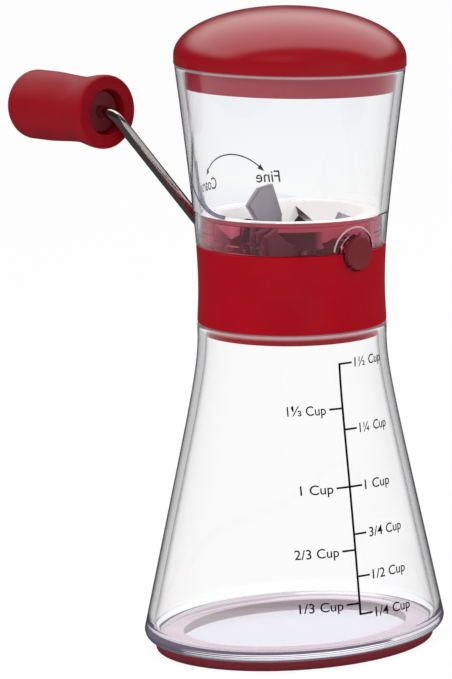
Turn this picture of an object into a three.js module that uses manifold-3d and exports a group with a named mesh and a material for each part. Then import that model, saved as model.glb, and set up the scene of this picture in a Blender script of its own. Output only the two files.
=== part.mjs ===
// Hand-cranked nut and food chopper, in millimetres, +Z up.
// A clear flask stands on a soft foot. A red waist holds a chamber with a cranked rotor between two
// fixed combs, and a clear hopper with a domed lid stands on top. Turned one way the rotor breaks food
// against the coarse comb, and turned the other way against the fine one.
import * as THREE from 'three';
import { mergeVertices } from 'three/addons/utils/BufferGeometryUtils.js';
import Module from 'manifold-3d';

const wasm = await Module();
wasm.setup();

// Driving sizes of the whole
const seat_gap = 0.3;
const overrun = 4;
const around_steps = 42;

// Flask: a round neck that flares to a wide oval rim
const foot_height = 3;
const flask_rim_height = 6.4;
const flask_rim_half_length = 49.9;
const flask_rim_half_depth = 40.4;
const flask_base_inset = 2.9;
const flask_floor_thickness = 2.7;
const flask_wall = 2.5;
const flask_floor_fillet = 5;
const flask_top_height = 103.2;
const flask_neck_straight = 3.2;
const flask_flare_ease = 13;
const flask_turn = THREE.MathUtils.degToRad(-14);

// Soft foot under the flask
const foot_inset = 3.7;
const foot_bulge = 0.4;
const foot_width = 8.7;

// Red waist
const waist_radius = 29.8;
const waist_draw_in = 0.45;
const waist_height = 24.5;
const waist_wall = 2.6;
const waist_edge_round = 0.6;
const spigot_depth = 3.5;
const spigot_clearance = 0.3;
const spigot_wall = 2.3;
const ledge_height = 2.5;

// Grinding chamber inside the waist
const chamber_wall = 1.8;
const collar_rise = 10.2;
const snap_bead = 0.15;
const snap_bead_height = 2;
const snap_bead_rise = 2.2;
const comb_ledge_width = 2.1;
const comb_ledge_thickness = 1.8;
const boss_radius = 5.6;

// Shaft line and rotor
const shaft_drop = 0.2;
const rod_radius = 1.85;
const running_clearance = 0.09;
const rotor_blades = 5;
const blade_pitch = 6.65;
const blade_thickness = 2.2;
const blade_bevel = 0.55;
const fin_clearance = 1.75;
const short_fin_reach = 9;
const blade_hub_radius = 5.4;
const blade_turns = [14, 112, 250, 285, 82].map(THREE.MathUtils.degToRad);
const core_width = 6;
const spacer_radius = 4.9;

// Fixed combs
const comb_thickness = 2.4;
const comb_drop = 7.1;
const comb_half_length = 15.4;
const comb_spine_land = 1.1;
const comb_tip_reach = 3.6;
const fine_tooth_width = 3.2;
const coarse_tooth_width = 1.7;

// Bearings, collar and cap on the shaft
const bush_radius = 3.5;
const bush_flange_radius = 5;
const bush_flange_thickness = 1.2;
const rear_bush_stand = 3;
const rotor_end_play = 1.9;
const rod_collar_radius = 4.2;
const rod_collar_length = 2.6;
const cap_radius = 5.5;
const cap_thickness = 1.9;
const cap_stand = 1.2;
const cap_stem_radius = 3.2;
const cap_stem_length = 1.5;
const cap_skin = 1.1;
const cap_round = 0.6;

// Hopper: round where it meets the waist, oval along the shaft at its mouth
const hopper_height = 55.4;
const hopper_flare_width = 2.4;
const hopper_flare_length = 10;
const hopper_wall = 2.3;
const hopper_skirt_wall = 0.8;
const hopper_width_power_share = 1.5;
const hopper_length_power_share = 1.05;
const notch_radius = 7;
const waist_notch_radius = 6.5;

// Clear ramp in the hopper at the crank end
const ramp_radius = 21.5;
const ramp_thickness = 1.2;
const ramp_root = 0.5;

// Feed funnel in the collar
const funnel_rim_thickness = 1.1;
const funnel_rim_width = 1.5;
const funnel_rim_land = 2;
const funnel_depth = 7.5;
const funnel_sweep_land = 0.4;
const funnel_wall = 1.8;
const rotor_clearance = 0.7;

// Lid
const lid_overhang = 0.25;
const lid_side_height = 2.6;
const lid_dome_height = 15.5;
const lid_wall = 2;
const skirt_depth = 7;
const skirt_clearance = 0.35;
const skirt_wall = 1.8;

// Crank and grip
const crank_standoff = 9.7;
const crank_splay = 3.5;
const crank_reach_x = 35.7;
const crank_reach_z = 41;
const crank_bend = 5;
const pin_length = 33;
const grip_length = 38.5;
const grip_gap = 2.4;
const grip_face_radius = 11.7;
const grip_waist_radius = 10.4;
const grip_belly_radius = 11.1;
const grip_waist_share = 0.3;
const grip_belly_share = 0.72;
const grip_round = 1.3;
const grip_back_round = 4.2;
const grip_recess_radius = 7.2;
const grip_recess_depth = 4.6;
const grip_bore_radius = 4.6;
const sleeve_radius = 4.3;
const sleeve_flange_radius = 6.4;
const sleeve_flange_thickness = 1.2;
const pin_washer_radius = 3.9;
const pin_washer_thickness = 1.2;
const plug_thickness = 1.6;
const plug_radius = 6.2;

// Heights that follow from the sizes above
const waist_bottom = flask_top_height + seat_gap;
const waist_top = waist_bottom + waist_height;
const shaft_height = waist_top - shaft_drop;
const hopper_bottom = waist_top + seat_gap;
const hopper_top = hopper_bottom + hopper_height;
const lid_bottom = hopper_top + seat_gap;
const chamber_bottom = waist_bottom + ledge_height + seat_gap;
const collar_top = waist_top + collar_rise;
const funnel_top = collar_top - seat_gap;
const funnel_bottom = funnel_top - funnel_rim_thickness;
const hopper_skirt_top = collar_top + seat_gap;
const waist_bore_radius = waist_radius - waist_wall;
const spigot_radius = waist_radius - flask_wall - spigot_clearance;
const chamber_radius = waist_bore_radius - seat_gap;
const chamber_bore_radius = chamber_radius - chamber_wall;
const collar_radius = waist_radius - hopper_skirt_wall - seat_gap - snap_bead;
const collar_rebate_radius = chamber_bore_radius + funnel_rim_width;
const comb_top = shaft_height - comb_drop;
const comb_bottom = comb_top - comb_thickness;
const rotor_half_length = ((rotor_blades - 1) * blade_pitch + blade_thickness) / 2;
const boss_inner = rotor_half_length + bush_flange_thickness + rotor_end_play;
const comb_back_radius = chamber_bore_radius - seat_gap;
const comb_half_angle = Math.asin(comb_half_length / comb_back_radius);
const comb_spine = comb_back_radius * Math.cos(comb_half_angle) - comb_spine_land;
const long_fin_reach = Math.hypot(comb_spine, comb_drop) - fin_clearance;
const sweep_radius = long_fin_reach + rotor_clearance;
const funnel_mouth_radius = sweep_radius + funnel_sweep_land;
const hopper_mouth_half_width = waist_radius + hopper_flare_width;
const hopper_mouth_half_length = waist_radius + hopper_flare_length;
const sweep_half_length = rotor_half_length + rotor_clearance;
const ramp_start = sweep_half_length + seat_gap;

// Materials
function plastic(color, roughness, opacity = 1) {
  const finish = { color, roughness, metalness: 0, opacity, transparent: opacity < 1 };
  return new THREE.MeshStandardMaterial(finish);
}

function metal(color, roughness) {
  return new THREE.MeshStandardMaterial({ color, roughness, metalness: 1 });
}

const clear_plastic = plastic(0xeef0f6, 0.06, 0.25);
const red_plastic = plastic(0xa60d1c, 0.32);
const tinted_plastic = plastic(0x8c1f2e, 0.15, 0.7);
const dark_red_plastic = plastic(0x701e23, 0.55);
const foot_rubber = plastic(0x5a1420, 0.7);
const grip_rubber = plastic(0xae2028, 0.5);
const white_plastic = plastic(0xf4f4f2, 0.35);
const grey_nylon = plastic(0x6c6a70, 0.45);
const blade_steel = metal(0x9a96a2, 0.35);
const rod_steel = metal(0xb9b6b2, 0.2);

// A closed loft through oval rings. Each ring is half the length along X, half the depth along Y and a
// height. The rings run outwards under the piece, up its outside and down its inside. A ring of no size
// is a single point on the axis, and a loft with looped set joins its last ring to its first.
function ovalLoft(rings, looped = false) {
  const positions = [];
  const index = [];
  const starts = rings.map(([half_x, half_y, height]) => {
    const start = positions.length / 3;
    const count = half_x > 0 ? around_steps : 1;
    for (let step = 0; step < count; step++) {
      const angle = (step / around_steps) * 2 * Math.PI;
      positions.push(half_x * Math.cos(angle), half_y * Math.sin(angle), height);
    }
    return { start, count };
  });
  const joints = looped ? rings.length : rings.length - 1;
  for (let ring = 0; ring < joints; ring++) {
    const low = starts[ring];
    const high = starts[(ring + 1) % rings.length];
    for (let step = 0; step < around_steps; step++) {
      const next = (step + 1) % around_steps;
      const a = low.start + (step % low.count);
      const b = low.start + (next % low.count);
      const c = high.start + (next % high.count);
      const d = high.start + (step % high.count);
      if (a !== b) index.push(a, b, c);
      if (c !== d) index.push(a, c, d);
    }
  }
  const geometry = new THREE.BufferGeometry();
  geometry.setAttribute('position', new THREE.Float32BufferAttribute(positions, 3));
  geometry.setIndex(index);
  return geometry;
}

// A round ring or disc about Z, from radius and height pairs
function roundLoft(profile, looped = false) {
  return ovalLoft(profile.map(([radius, height]) => [radius, radius, height]), looped);
}

// Evenly spaced heights from one to another, both included
function stations(from, to, steps) {
  return Array.from({ length: steps + 1 }, (_, step) => THREE.MathUtils.lerp(from, to, step / steps));
}

// A turned piece about the Y axis, from radius and length pairs
function turned(profile, steps = 24) {
  return new THREE.LatheGeometry(profile.map(([radius, y]) => new THREE.Vector2(radius, y)), steps);
}

// A plain rod about Y between two stations
function rodAlongY(radius, from, to, height = 0, steps = 32) {
  const geometry = new THREE.CylinderGeometry(radius, radius, to - from, steps);
  return geometry.translate(0, (from + to) / 2, height);
}

// Angles inside a quarter turn, for rounded edges
function quarterAngles(steps) {
  return Array.from({ length: steps - 1 }, (_, step) => ((step + 1) / steps) * (Math.PI / 2));
}

function toSolid(geometry) {
  const bare = geometry.clone();
  bare.deleteAttribute('normal');
  bare.deleteAttribute('uv');
  const merged = mergeVertices(bare, 1e-4);
  const position = merged.getAttribute('position');
  const corners = Uint32Array.from(merged.index.array);
  const kept = [];
  for (let start = 0; start < corners.length; start += 3) {
    const [a, b, c] = corners.slice(start, start + 3);
    if (a !== b && b !== c && c !== a) kept.push(a, b, c);
  }
  const [p, q, r] = [new THREE.Vector3(), new THREE.Vector3(), new THREE.Vector3()];
  let volume = 0;
  for (let start = 0; start < kept.length; start += 3) {
    p.fromBufferAttribute(position, kept[start]);
    q.fromBufferAttribute(position, kept[start + 1]);
    r.fromBufferAttribute(position, kept[start + 2]);
    volume += p.dot(q.cross(r));
  }
  if (volume < 0) kept.reverse();
  const vertProperties = Float32Array.from(position.array);
  return new wasm.Manifold(new wasm.Mesh({ numProp: 3, vertProperties, triVerts: Uint32Array.from(kept) }));
}

function toGeometry(solid) {
  const mesh = solid.getMesh();
  const geometry = new THREE.BufferGeometry();
  geometry.setAttribute('position', new THREE.Float32BufferAttribute(mesh.vertProperties, 3));
  geometry.setIndex(Array.from(mesh.triVerts));
  return geometry;
}

// Join pieces, then take the cuts away from them
function shaped(pieces, cuts = []) {
  const body = pieces.map(toSolid).reduce((sum, piece) => sum.add(piece));
  return toGeometry(cuts.map(toSolid).reduce((rest, cut) => rest.subtract(cut), body));
}

function piece(name, geometry, material) {
  const mesh = new THREE.Mesh(geometry, material);
  mesh.name = name;
  mesh.geometry.computeVertexNormals();
  return mesh;
}

// Flask: the wall runs straight down from the neck and eases into an even flare
function flaskHalfLength(height) {
  const drop = Math.max(0, flask_top_height - flask_neck_straight - height);
  const full_drop = flask_top_height - flask_neck_straight - flask_rim_height;
  const flare = Math.hypot(drop, flask_flare_ease) - flask_flare_ease;
  const full_flare = Math.hypot(full_drop, flask_flare_ease) - flask_flare_ease;
  return waist_radius + (flask_rim_half_length - waist_radius) * (flare / full_flare);
}

function flaskHalfDepth(height) {
  const fall = Math.min(1, (flask_top_height - height) / (flask_top_height - flask_rim_height));
  const rim_share = flask_rim_half_depth / flask_rim_half_length;
  return flaskHalfLength(height) * (1 - (1 - rim_share) * fall);
}

function flaskRing(height, inset) {
  return [flaskHalfLength(height) - inset, flaskHalfDepth(height) - inset, height];
}

function rimRing(height, inset) {
  return [flask_rim_half_length - inset, flask_rim_half_depth - inset, height];
}

function flask() {
  const base = foot_height + seat_gap;
  const floor = base + flask_floor_thickness;
  const fillet_top = floor + flask_floor_fillet;
  const outside = stations(flask_rim_height, flask_top_height, 8).map((height) => flaskRing(height, 0));
  const inside = stations(flask_top_height, fillet_top, 8).map((height) => flaskRing(height, flask_wall));
  const edge = quarterAngles(4).map((angle) => {
    const height = base + (flask_rim_height - base) * (1 - Math.cos(angle));
    return rimRing(height, flask_base_inset * (1 - Math.sin(angle)));
  });
  const [foot_x, foot_y] = flaskRing(fillet_top, flask_wall + flask_floor_fillet);
  const fillet = [...quarterAngles(4), Math.PI / 2].map((angle) => {
    const out = flask_floor_fillet * Math.cos(angle);
    return [foot_x + out, foot_y + out, fillet_top - flask_floor_fillet * Math.sin(angle)];
  });
  return ovalLoft([
    [0, 0, base],
    rimRing(base, flask_base_inset),
    ...edge,
    ...outside,
    ...inside,
    ...fillet,
    [0, 0, floor],
  ]);
}

function foot() {
  return ovalLoft([
    rimRing(0, foot_inset),
    rimRing(foot_height / 2, foot_inset - foot_bulge),
    rimRing(foot_height, foot_inset),
    rimRing(foot_height, foot_inset + foot_width),
    rimRing(0, foot_inset + foot_width),
  ], true);
}

// Waist: the band you hold, with the spigot that plugs into the flask's neck
function waist() {
  const side_bottom = waist_bottom + waist_edge_round;
  const side_top = waist_top - waist_edge_round;
  const side = stations(side_bottom, side_top, 6).map((height) => {
    const share = (height - side_bottom) / (side_top - side_bottom);
    return [waist_radius - waist_draw_in * Math.sin(share * Math.PI), height];
  });
  const spigot_bore = spigot_radius - spigot_wall;
  const ledge = waist_bottom + ledge_height;
  const band = roundLoft([
    [spigot_bore, waist_bottom - spigot_depth],
    [spigot_radius, waist_bottom - spigot_depth],
    [spigot_radius, waist_bottom],
    [waist_radius - waist_edge_round, waist_bottom],
    ...side,
    [waist_radius - waist_edge_round, waist_top],
    [waist_bore_radius, waist_top],
    [waist_bore_radius, ledge],
    [spigot_bore, ledge],
  ], true);
  const reach = waist_radius + overrun;
  return shaped([band], [rodAlongY(waist_notch_radius, -reach, reach, shaft_height)]);
}

// Chamber: the tinted tube that carries the shaft and the combs. Its collar rests on the waist and
// stands up inside the hopper's skirt.
function chamber() {
  const bead = waist_top + snap_bead_rise;
  const half_bead = snap_bead_height / 2;
  const ledge_top = comb_bottom - seat_gap;
  const ledge_foot = ledge_top - comb_ledge_thickness;
  const tube = roundLoft([
    [chamber_radius, chamber_bottom],
    [chamber_radius, waist_top + seat_gap],
    [collar_radius, waist_top + seat_gap],
    [collar_radius, bead],
    [collar_radius + snap_bead, bead + half_bead / 2],
    [collar_radius + snap_bead, bead + half_bead],
    [collar_radius, bead + snap_bead_height],
    [collar_radius, collar_top],
    [collar_rebate_radius, collar_top],
    [collar_rebate_radius, funnel_bottom - seat_gap],
    [chamber_bore_radius, funnel_bottom - seat_gap],
    [chamber_bore_radius, ledge_top],
    [chamber_bore_radius - comb_ledge_width, ledge_top],
    [chamber_bore_radius - comb_ledge_width, ledge_foot],
    [chamber_bore_radius, ledge_foot - comb_ledge_width],
    [chamber_bore_radius, chamber_bottom],
  ], true);
  const outer = chamber_radius - chamber_wall / 2;
  const reach = chamber_radius + overrun;
  const front_boss = rodAlongY(boss_radius, -outer, -boss_inner, shaft_height);
  const rear_boss = rodAlongY(boss_radius, boss_inner, outer, shaft_height);
  const bore = rodAlongY(bush_radius + seat_gap, -reach, reach, shaft_height);
  return shaped([tube, front_boss, rear_boss], [bore]);
}

// Fixed comb on the +X side: a curved spine against the chamber wall, and teeth between the blades
function comb(tooth_width) {
  const outline = new THREE.Shape();
  outline.absarc(0, 0, comb_back_radius, -comb_half_angle, comb_half_angle, false);
  for (let gap = rotor_blades - 2; gap >= 0; gap--) {
    const centre = (gap - (rotor_blades - 2) / 2) * blade_pitch;
    const tip = tooth_width / 2;
    outline.lineTo(comb_spine, centre + tip);
    outline.lineTo(comb_tip_reach + tip / 2, centre + tip);
    outline.lineTo(comb_tip_reach, centre + tip / 2);
    outline.lineTo(comb_tip_reach, centre - tip / 2);
    outline.lineTo(comb_tip_reach + tip / 2, centre - tip);
    outline.lineTo(comb_spine, centre - tip);
  }
  const settings = { depth: comb_thickness, bevelEnabled: false, curveSegments: 12 };
  return new THREE.ExtrudeGeometry(outline, settings).translate(0, 0, comb_bottom);
}

// Rotor blade: a long breaking fin and a short one opposite, round a hub. Each fin has a raised shoulder
// on one side, a point, and a hollow flank on the other. Angles are measured from the fin's direction.
const fin_angles = [-40, -44, -20, 0, 16, 34, 62, 98].map(THREE.MathUtils.degToRad);
const fin_reach_shares = [0.43, 0.74, 0.93, 1, 0.74, 0.62, 0.45, 0];

function blade(turn) {
  const corners = [long_fin_reach, short_fin_reach].flatMap((reach, fin) => {
    return fin_angles.map((angle, corner) => {
      const radius = Math.max(blade_hub_radius, fin_reach_shares[corner] * reach);
      const around = turn + angle + fin * Math.PI;
      return new THREE.Vector2(radius * Math.sin(around), radius * Math.cos(around));
    });
  });
  const plate = new THREE.ExtrudeGeometry(new THREE.Shape(corners), {
    depth: blade_thickness - 2 * blade_bevel,
    bevelThickness: blade_bevel,
    bevelSize: blade_bevel,
    bevelOffset: -blade_bevel,
    bevelSegments: 1,
  });
  plate.translate(0, 0, blade_bevel - blade_thickness / 2);
  plate.rotateX(Math.PI / 2);
  return shaped([plate], [squareAlongY(core_width + seat_gap, blade_thickness + overrun)]);
}

function squareAlongY(width, length) {
  return new THREE.BoxGeometry(width, length, width);
}

function spacer() {
  const length = blade_pitch - blade_thickness - 2 * seat_gap;
  const tube = rodAlongY(spacer_radius, -length / 2, length / 2);
  return shaped([tube], [squareAlongY(core_width + seat_gap, length + overrun)]);
}

function core() {
  const half = boss_inner - bush_flange_thickness - 2 * seat_gap;
  const bar = squareAlongY(core_width, 2 * half);
  const bore = rodAlongY(rod_radius + seat_gap / 2, -half - overrun, half + overrun);
  return shaped([bar], [bore]);
}

// Flanged bush, its flange against the inner end of the boss and its barrel out through the wall
function bush(stand) {
  const bore = rod_radius + running_clearance;
  const flange = -bush_flange_thickness;
  const barrel = chamber_radius - boss_inner + seat_gap + stand;
  return turned([
    [bore, flange],
    [bush_flange_radius, flange],
    [bush_flange_radius, 0],
    [bush_radius, 0],
    [bush_radius, barrel],
    [bore, barrel],
    [bore, flange],
  ]);
}

function rodCollar() {
  const bore = rod_radius + running_clearance;
  return turned([
    [bore, 0],
    [rod_collar_radius, 0],
    [rod_collar_radius, rod_collar_length],
    [bore, rod_collar_length],
    [bore, 0],
  ]);
}

// Cap on the front end of the shaft, pressed over the rod
function endCap() {
  const face = cap_stem_length + cap_thickness;
  const bore = rod_radius + seat_gap / 2;
  return turned([
    [0, face - cap_skin],
    [bore, face - cap_skin],
    [bore, 0],
    [cap_stem_radius, 0],
    [cap_stem_radius, cap_stem_length],
    [cap_radius, cap_stem_length],
    [cap_radius, face - cap_round],
    [cap_radius - cap_round, face],
    [0, face],
  ], 28);
}

// Hopper
function hopperHalfWidth(height) {
  const rise = Math.max(0, (height - hopper_bottom) / hopper_height);
  return waist_radius + hopper_flare_width * Math.pow(rise, hopper_width_power_share);
}

function hopperHalfLength(height) {
  const rise = Math.max(0, (height - hopper_bottom) / hopper_height);
  return waist_radius + hopper_flare_length * Math.pow(rise, hopper_length_power_share);
}

function hopperRing(height, inset) {
  return [hopperHalfWidth(height) - inset, hopperHalfLength(height) - inset, height];
}

// A thin ramp that sweeps up from over the funnel to the hopper's wall at the crank end
function ramp() {
  const foot = hopper_skirt_top + ramp_thickness;
  const heights = stations(hopper_skirt_top, foot + ramp_radius / 2, 5);
  const inside = heights.map((height) => hopperRing(height, hopper_wall - ramp_root));
  const filling = ovalLoft([[0, 0, heights[0]], ...inside, [0, 0, heights[heights.length - 1]]]);
  const span = 2 * hopper_mouth_half_length;
  const [underside, topside] = [ramp_radius + ramp_thickness, ramp_radius].map((radius) => {
    const scoop = new THREE.CylinderGeometry(radius, radius, span, 96);
    return toSolid(scoop.rotateZ(Math.PI / 2).translate(0, ramp_start, foot + ramp_radius));
  });
  const front = new THREE.BoxGeometry(span, span, 2 * span);
  front.translate(0, ramp_start - span / 2, foot);
  return toSolid(filling).intersect(underside).subtract(topside).subtract(toSolid(front));
}

// Hopper: its thin skirt goes down around the chamber's collar, and its step sits over the funnel
function hopper() {
  const outside = stations(hopper_bottom, hopper_top, 7).map((height) => hopperRing(height, 0));
  const inside = stations(hopper_top, hopper_skirt_top, 6).map((height) => hopperRing(height, hopper_wall));
  const skirt = stations(hopper_skirt_top, hopper_bottom, 2).map((height) => {
    return hopperRing(height, hopper_skirt_wall);
  });
  const reach = hopper_mouth_half_length + overrun;
  const notches = toSolid(rodAlongY(notch_radius, -reach, reach, shaft_height));
  const shell = toSolid(ovalLoft([...outside, ...inside, ...skirt], true));
  return toGeometry(shell.add(ramp()).subtract(notches));
}

// Feed funnel: its flange lies in the collar's rebate and its bowl slopes to the rotor, with a window
// beside the rotor on one side
function funnel() {
  const barrel = chamber_bore_radius - seat_gap;
  const slope_foot = funnel_top - funnel_depth;
  const bowl = roundLoft([
    [funnel_mouth_radius, slope_foot - funnel_wall],
    [barrel, funnel_bottom - funnel_wall],
    [barrel, funnel_bottom],
    [collar_rebate_radius - seat_gap, funnel_bottom],
    [collar_rebate_radius - seat_gap, funnel_top],
    [barrel - funnel_rim_land, funnel_top],
    [funnel_mouth_radius, slope_foot],
  ], true);
  const window = new THREE.BoxGeometry(2 * chamber_radius, 2 * sweep_half_length, 2 * funnel_depth);
  window.translate(-chamber_radius, 0, funnel_bottom - funnel_depth);
  return shaped([bowl], [
    rodAlongY(sweep_radius, -sweep_half_length, sweep_half_length, shaft_height, 48),
    rodAlongY(boss_radius + seat_gap, -chamber_radius, chamber_radius, shaft_height),
    window,
  ]);
}

// Lid: a domed shell with a skirt that plugs into the hopper's mouth
function lid() {
  const half_width = hopper_mouth_half_width + lid_overhang;
  const half_length = hopper_mouth_half_length + lid_overhang;
  const side_top = lid_bottom + lid_side_height;
  const dome = (inset, height) => [0, ...quarterAngles(7)].map((angle) => {
    const along = Math.cos(angle);
    const level = side_top + height * Math.sin(angle);
    return [(half_width - inset) * along, (half_length - inset) * along, level];
  });
  const skirt_inset = hopper_wall + skirt_clearance;
  const bore_inset = skirt_inset + skirt_wall;
  const outer_dome = dome(0, lid_dome_height);
  const inner_dome = dome(bore_inset, lid_dome_height - lid_wall).reverse();
  const skirt_bottom = lid_bottom - skirt_depth;
  return ovalLoft([
    hopperRing(skirt_bottom, skirt_inset),
    hopperRing(lid_bottom, skirt_inset),
    [half_width - lid_overhang, half_length - lid_overhang, lid_bottom],
    [half_width, half_length, lid_bottom + lid_overhang],
    ...outer_dome,
    [0, 0, side_top + lid_dome_height],
    [0, 0, side_top + lid_dome_height - lid_wall],
    ...inner_dome,
    hopperRing(lid_bottom, bore_inset),
    hopperRing(skirt_bottom, bore_inset),
  ], true);
}

// A path of straight runs and rounded corners, with its steps spent on the corners
class BentRod extends THREE.Curve {
  constructor(corners, bend, bend_steps) {
    super();
    this.points = [corners[0]];
    for (let number = 1; number < corners.length - 1; number++) {
      const corner = corners[number];
      const back = corners[number - 1].clone().sub(corner).setLength(bend).add(corner);
      const ahead = corners[number + 1].clone().sub(corner).setLength(bend).add(corner);
      this.points.push(...new THREE.QuadraticBezierCurve3(back, corner, ahead).getPoints(bend_steps));
    }
    this.points.push(corners[corners.length - 1]);
  }

  getPoint(t, target = new THREE.Vector3()) {
    const place = t * (this.points.length - 1);
    const start = Math.min(Math.floor(place), this.points.length - 2);
    return target.lerpVectors(this.points[start], this.points[start + 1], place - start);
  }

  getUtoTmapping(u) {
    return u;
  }
}

const crank_stand = waist_radius + crank_standoff;
const crank_tip_y = crank_stand + crank_splay;
const cap_face_y = -(waist_radius + cap_stand);
const cap_root_y = cap_face_y + cap_stem_length + cap_thickness;
const grip_face_y = crank_tip_y + grip_gap;

function crankRod() {
  const shaft_end = cap_face_y + cap_skin + seat_gap;
  const path = new BentRod([
    new THREE.Vector3(0, shaft_end, 0),
    new THREE.Vector3(0, crank_stand, 0),
    new THREE.Vector3(-crank_reach_x, crank_tip_y, crank_reach_z),
    new THREE.Vector3(-crank_reach_x, crank_tip_y + pin_length, crank_reach_z),
  ], crank_bend, 6);
  const section = new THREE.Shape().absarc(0, 0, rod_radius, 0, 2 * Math.PI, false);
  const settings = { steps: path.points.length - 1, extrudePath: path, curveSegments: 7 };
  return toGeometry(toSolid(new THREE.ExtrudeGeometry(section, settings)));
}

// Grip: a waisted spool with a recess where the rod enters, about its own axis along Y
function gripRadius(y) {
  const waist_y = grip_waist_share * grip_length;
  const belly_y = grip_belly_share * grip_length;
  const fall = THREE.MathUtils.smoothstep(y, grip_round, waist_y);
  const rise = THREE.MathUtils.smoothstep(y, waist_y, belly_y);
  const neck = THREE.MathUtils.lerp(grip_face_radius, grip_waist_radius, fall);
  return THREE.MathUtils.lerp(neck, grip_belly_radius, rise);
}

function grip() {
  const back_y = grip_length - grip_back_round;
  const back_radius = grip_belly_radius - grip_back_round;
  const plug_seat = grip_length - plug_thickness;
  const face_edge = [0, ...quarterAngles(2)].map((angle) => {
    const inset = grip_round * (1 - Math.sin(angle));
    return [grip_face_radius - inset, grip_round * (1 - Math.cos(angle))];
  });
  const side = stations(grip_round, back_y, 9).map((y) => [gripRadius(y), y]);
  const back_edge = [...quarterAngles(4), Math.PI / 2].map((angle) => {
    return [back_radius + grip_back_round * Math.cos(angle), back_y + grip_back_round * Math.sin(angle)];
  });
  return turned([
    ...face_edge,
    ...side,
    ...back_edge,
    [plug_radius + seat_gap, grip_length],
    [plug_radius + seat_gap, plug_seat],
    [grip_bore_radius, plug_seat],
    [grip_bore_radius, grip_recess_depth],
    [grip_recess_radius, grip_recess_depth],
    [grip_recess_radius, 0],
    face_edge[0],
  ], 28);
}

function gripSleeve() {
  const bore = rod_radius + running_clearance;
  const flange = grip_recess_depth - seat_gap - sleeve_flange_thickness;
  const root = grip_recess_depth - seat_gap;
  const end = pin_length - grip_gap - pin_washer_thickness - 2 * seat_gap;
  return turned([
    [bore, flange],
    [sleeve_flange_radius, flange],
    [sleeve_flange_radius, root],
    [sleeve_radius, root],
    [sleeve_radius, end],
    [bore, end],
    [bore, flange],
  ]);
}

function pinWasher() {
  const bore = rod_radius + seat_gap / 2;
  const start = pin_length - grip_gap - pin_washer_thickness - seat_gap;
  return turned([
    [bore, start],
    [pin_washer_radius, start],
    [pin_washer_radius, start + pin_washer_thickness],
    [bore, start + pin_washer_thickness],
    [bore, start],
  ]);
}

function gripPlug() {
  const seat = grip_length - plug_thickness + seat_gap;
  return turned([[0, seat], [plug_radius, seat], [plug_radius, grip_length], [0, grip_length]]);
}

// Assembly
const chopper = new THREE.Group();

const flask_group = new THREE.Group();
flask_group.rotation.z = flask_turn;
flask_group.add(piece('container', flask(), clear_plastic));
flask_group.add(piece('foot_ring', foot(), foot_rubber));
chopper.add(flask_group);

chopper.add(piece('body_band', waist(), red_plastic));
chopper.add(piece('chamber_liner', chamber(), tinted_plastic));
chopper.add(piece('comb_fine', comb(fine_tooth_width), blade_steel));
const coarse = piece('comb_coarse', comb(coarse_tooth_width), blade_steel);
coarse.rotation.z = Math.PI;
chopper.add(coarse);

const shaft_line = new THREE.Group();
shaft_line.position.z = shaft_height;
const front_bush = piece('front_bush', bush(0), grey_nylon);
front_bush.position.y = -boss_inner;
front_bush.rotation.z = Math.PI;
shaft_line.add(front_bush);
const rear_bush = piece('rear_bush', bush(rear_bush_stand), grey_nylon);
rear_bush.position.y = boss_inner;
shaft_line.add(rear_bush);

shaft_line.add(piece('crank_rod', crankRod(), rod_steel));
shaft_line.add(piece('rotor_core', core(), grey_nylon));
for (let number = 0; number < rotor_blades; number++) {
  const station = ((rotor_blades - 1) / 2 - number) * blade_pitch;
  const disc = piece(`rotor_blade_${number + 1}`, blade(blade_turns[number]), blade_steel);
  disc.position.y = station;
  shaft_line.add(disc);
  if (number > 0) {
    const ring = piece(`rotor_spacer_${number}`, spacer(), grey_nylon);
    ring.position.y = station + blade_pitch / 2;
    shaft_line.add(ring);
  }
}
const cap = piece('shaft_cap', endCap(), dark_red_plastic);
cap.position.y = cap_root_y;
cap.rotation.z = Math.PI;
shaft_line.add(cap);
const collar = piece('shaft_collar', rodCollar(), rod_steel);
collar.position.y = chamber_radius + rear_bush_stand + 2 * seat_gap;
shaft_line.add(collar);

const grip_line = new THREE.Group();
grip_line.position.set(-crank_reach_x, grip_face_y, crank_reach_z);
grip_line.add(piece('grip', grip(), grip_rubber));
grip_line.add(piece('grip_sleeve', gripSleeve(), dark_red_plastic));
grip_line.add(piece('grip_washer', pinWasher(), rod_steel));
grip_line.add(piece('grip_plug', gripPlug(), grip_rubber));
shaft_line.add(grip_line);
chopper.add(shaft_line);

chopper.add(piece('hopper', hopper(), clear_plastic));
chopper.add(piece('feed_funnel', funnel(), white_plastic));
chopper.add(piece('lid', lid(), red_plastic));

// The origin is the middle of the whole part's outline on the table
const outline_box = new THREE.Box3().setFromObject(chopper, true);
chopper.position.y = -(outline_box.min.y + outline_box.max.y) / 2;

export default chopper;
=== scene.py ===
"""Looks of the hand crank nut and food chopper, laid out as a Blender add-on and run as a script.

The packed part is loaded as a fixed frame. Each operator makes one piece or a group of like pieces in
that frame, in metres, and hides the plain solid that it stands for.
"""

import math

import bmesh
import bpy
from bpy.props import FloatProperty, FloatVectorProperty, IntProperty, PointerProperty
from bpy.types import Operator, Panel, PropertyGroup
from mathutils import Matrix, Vector


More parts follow.
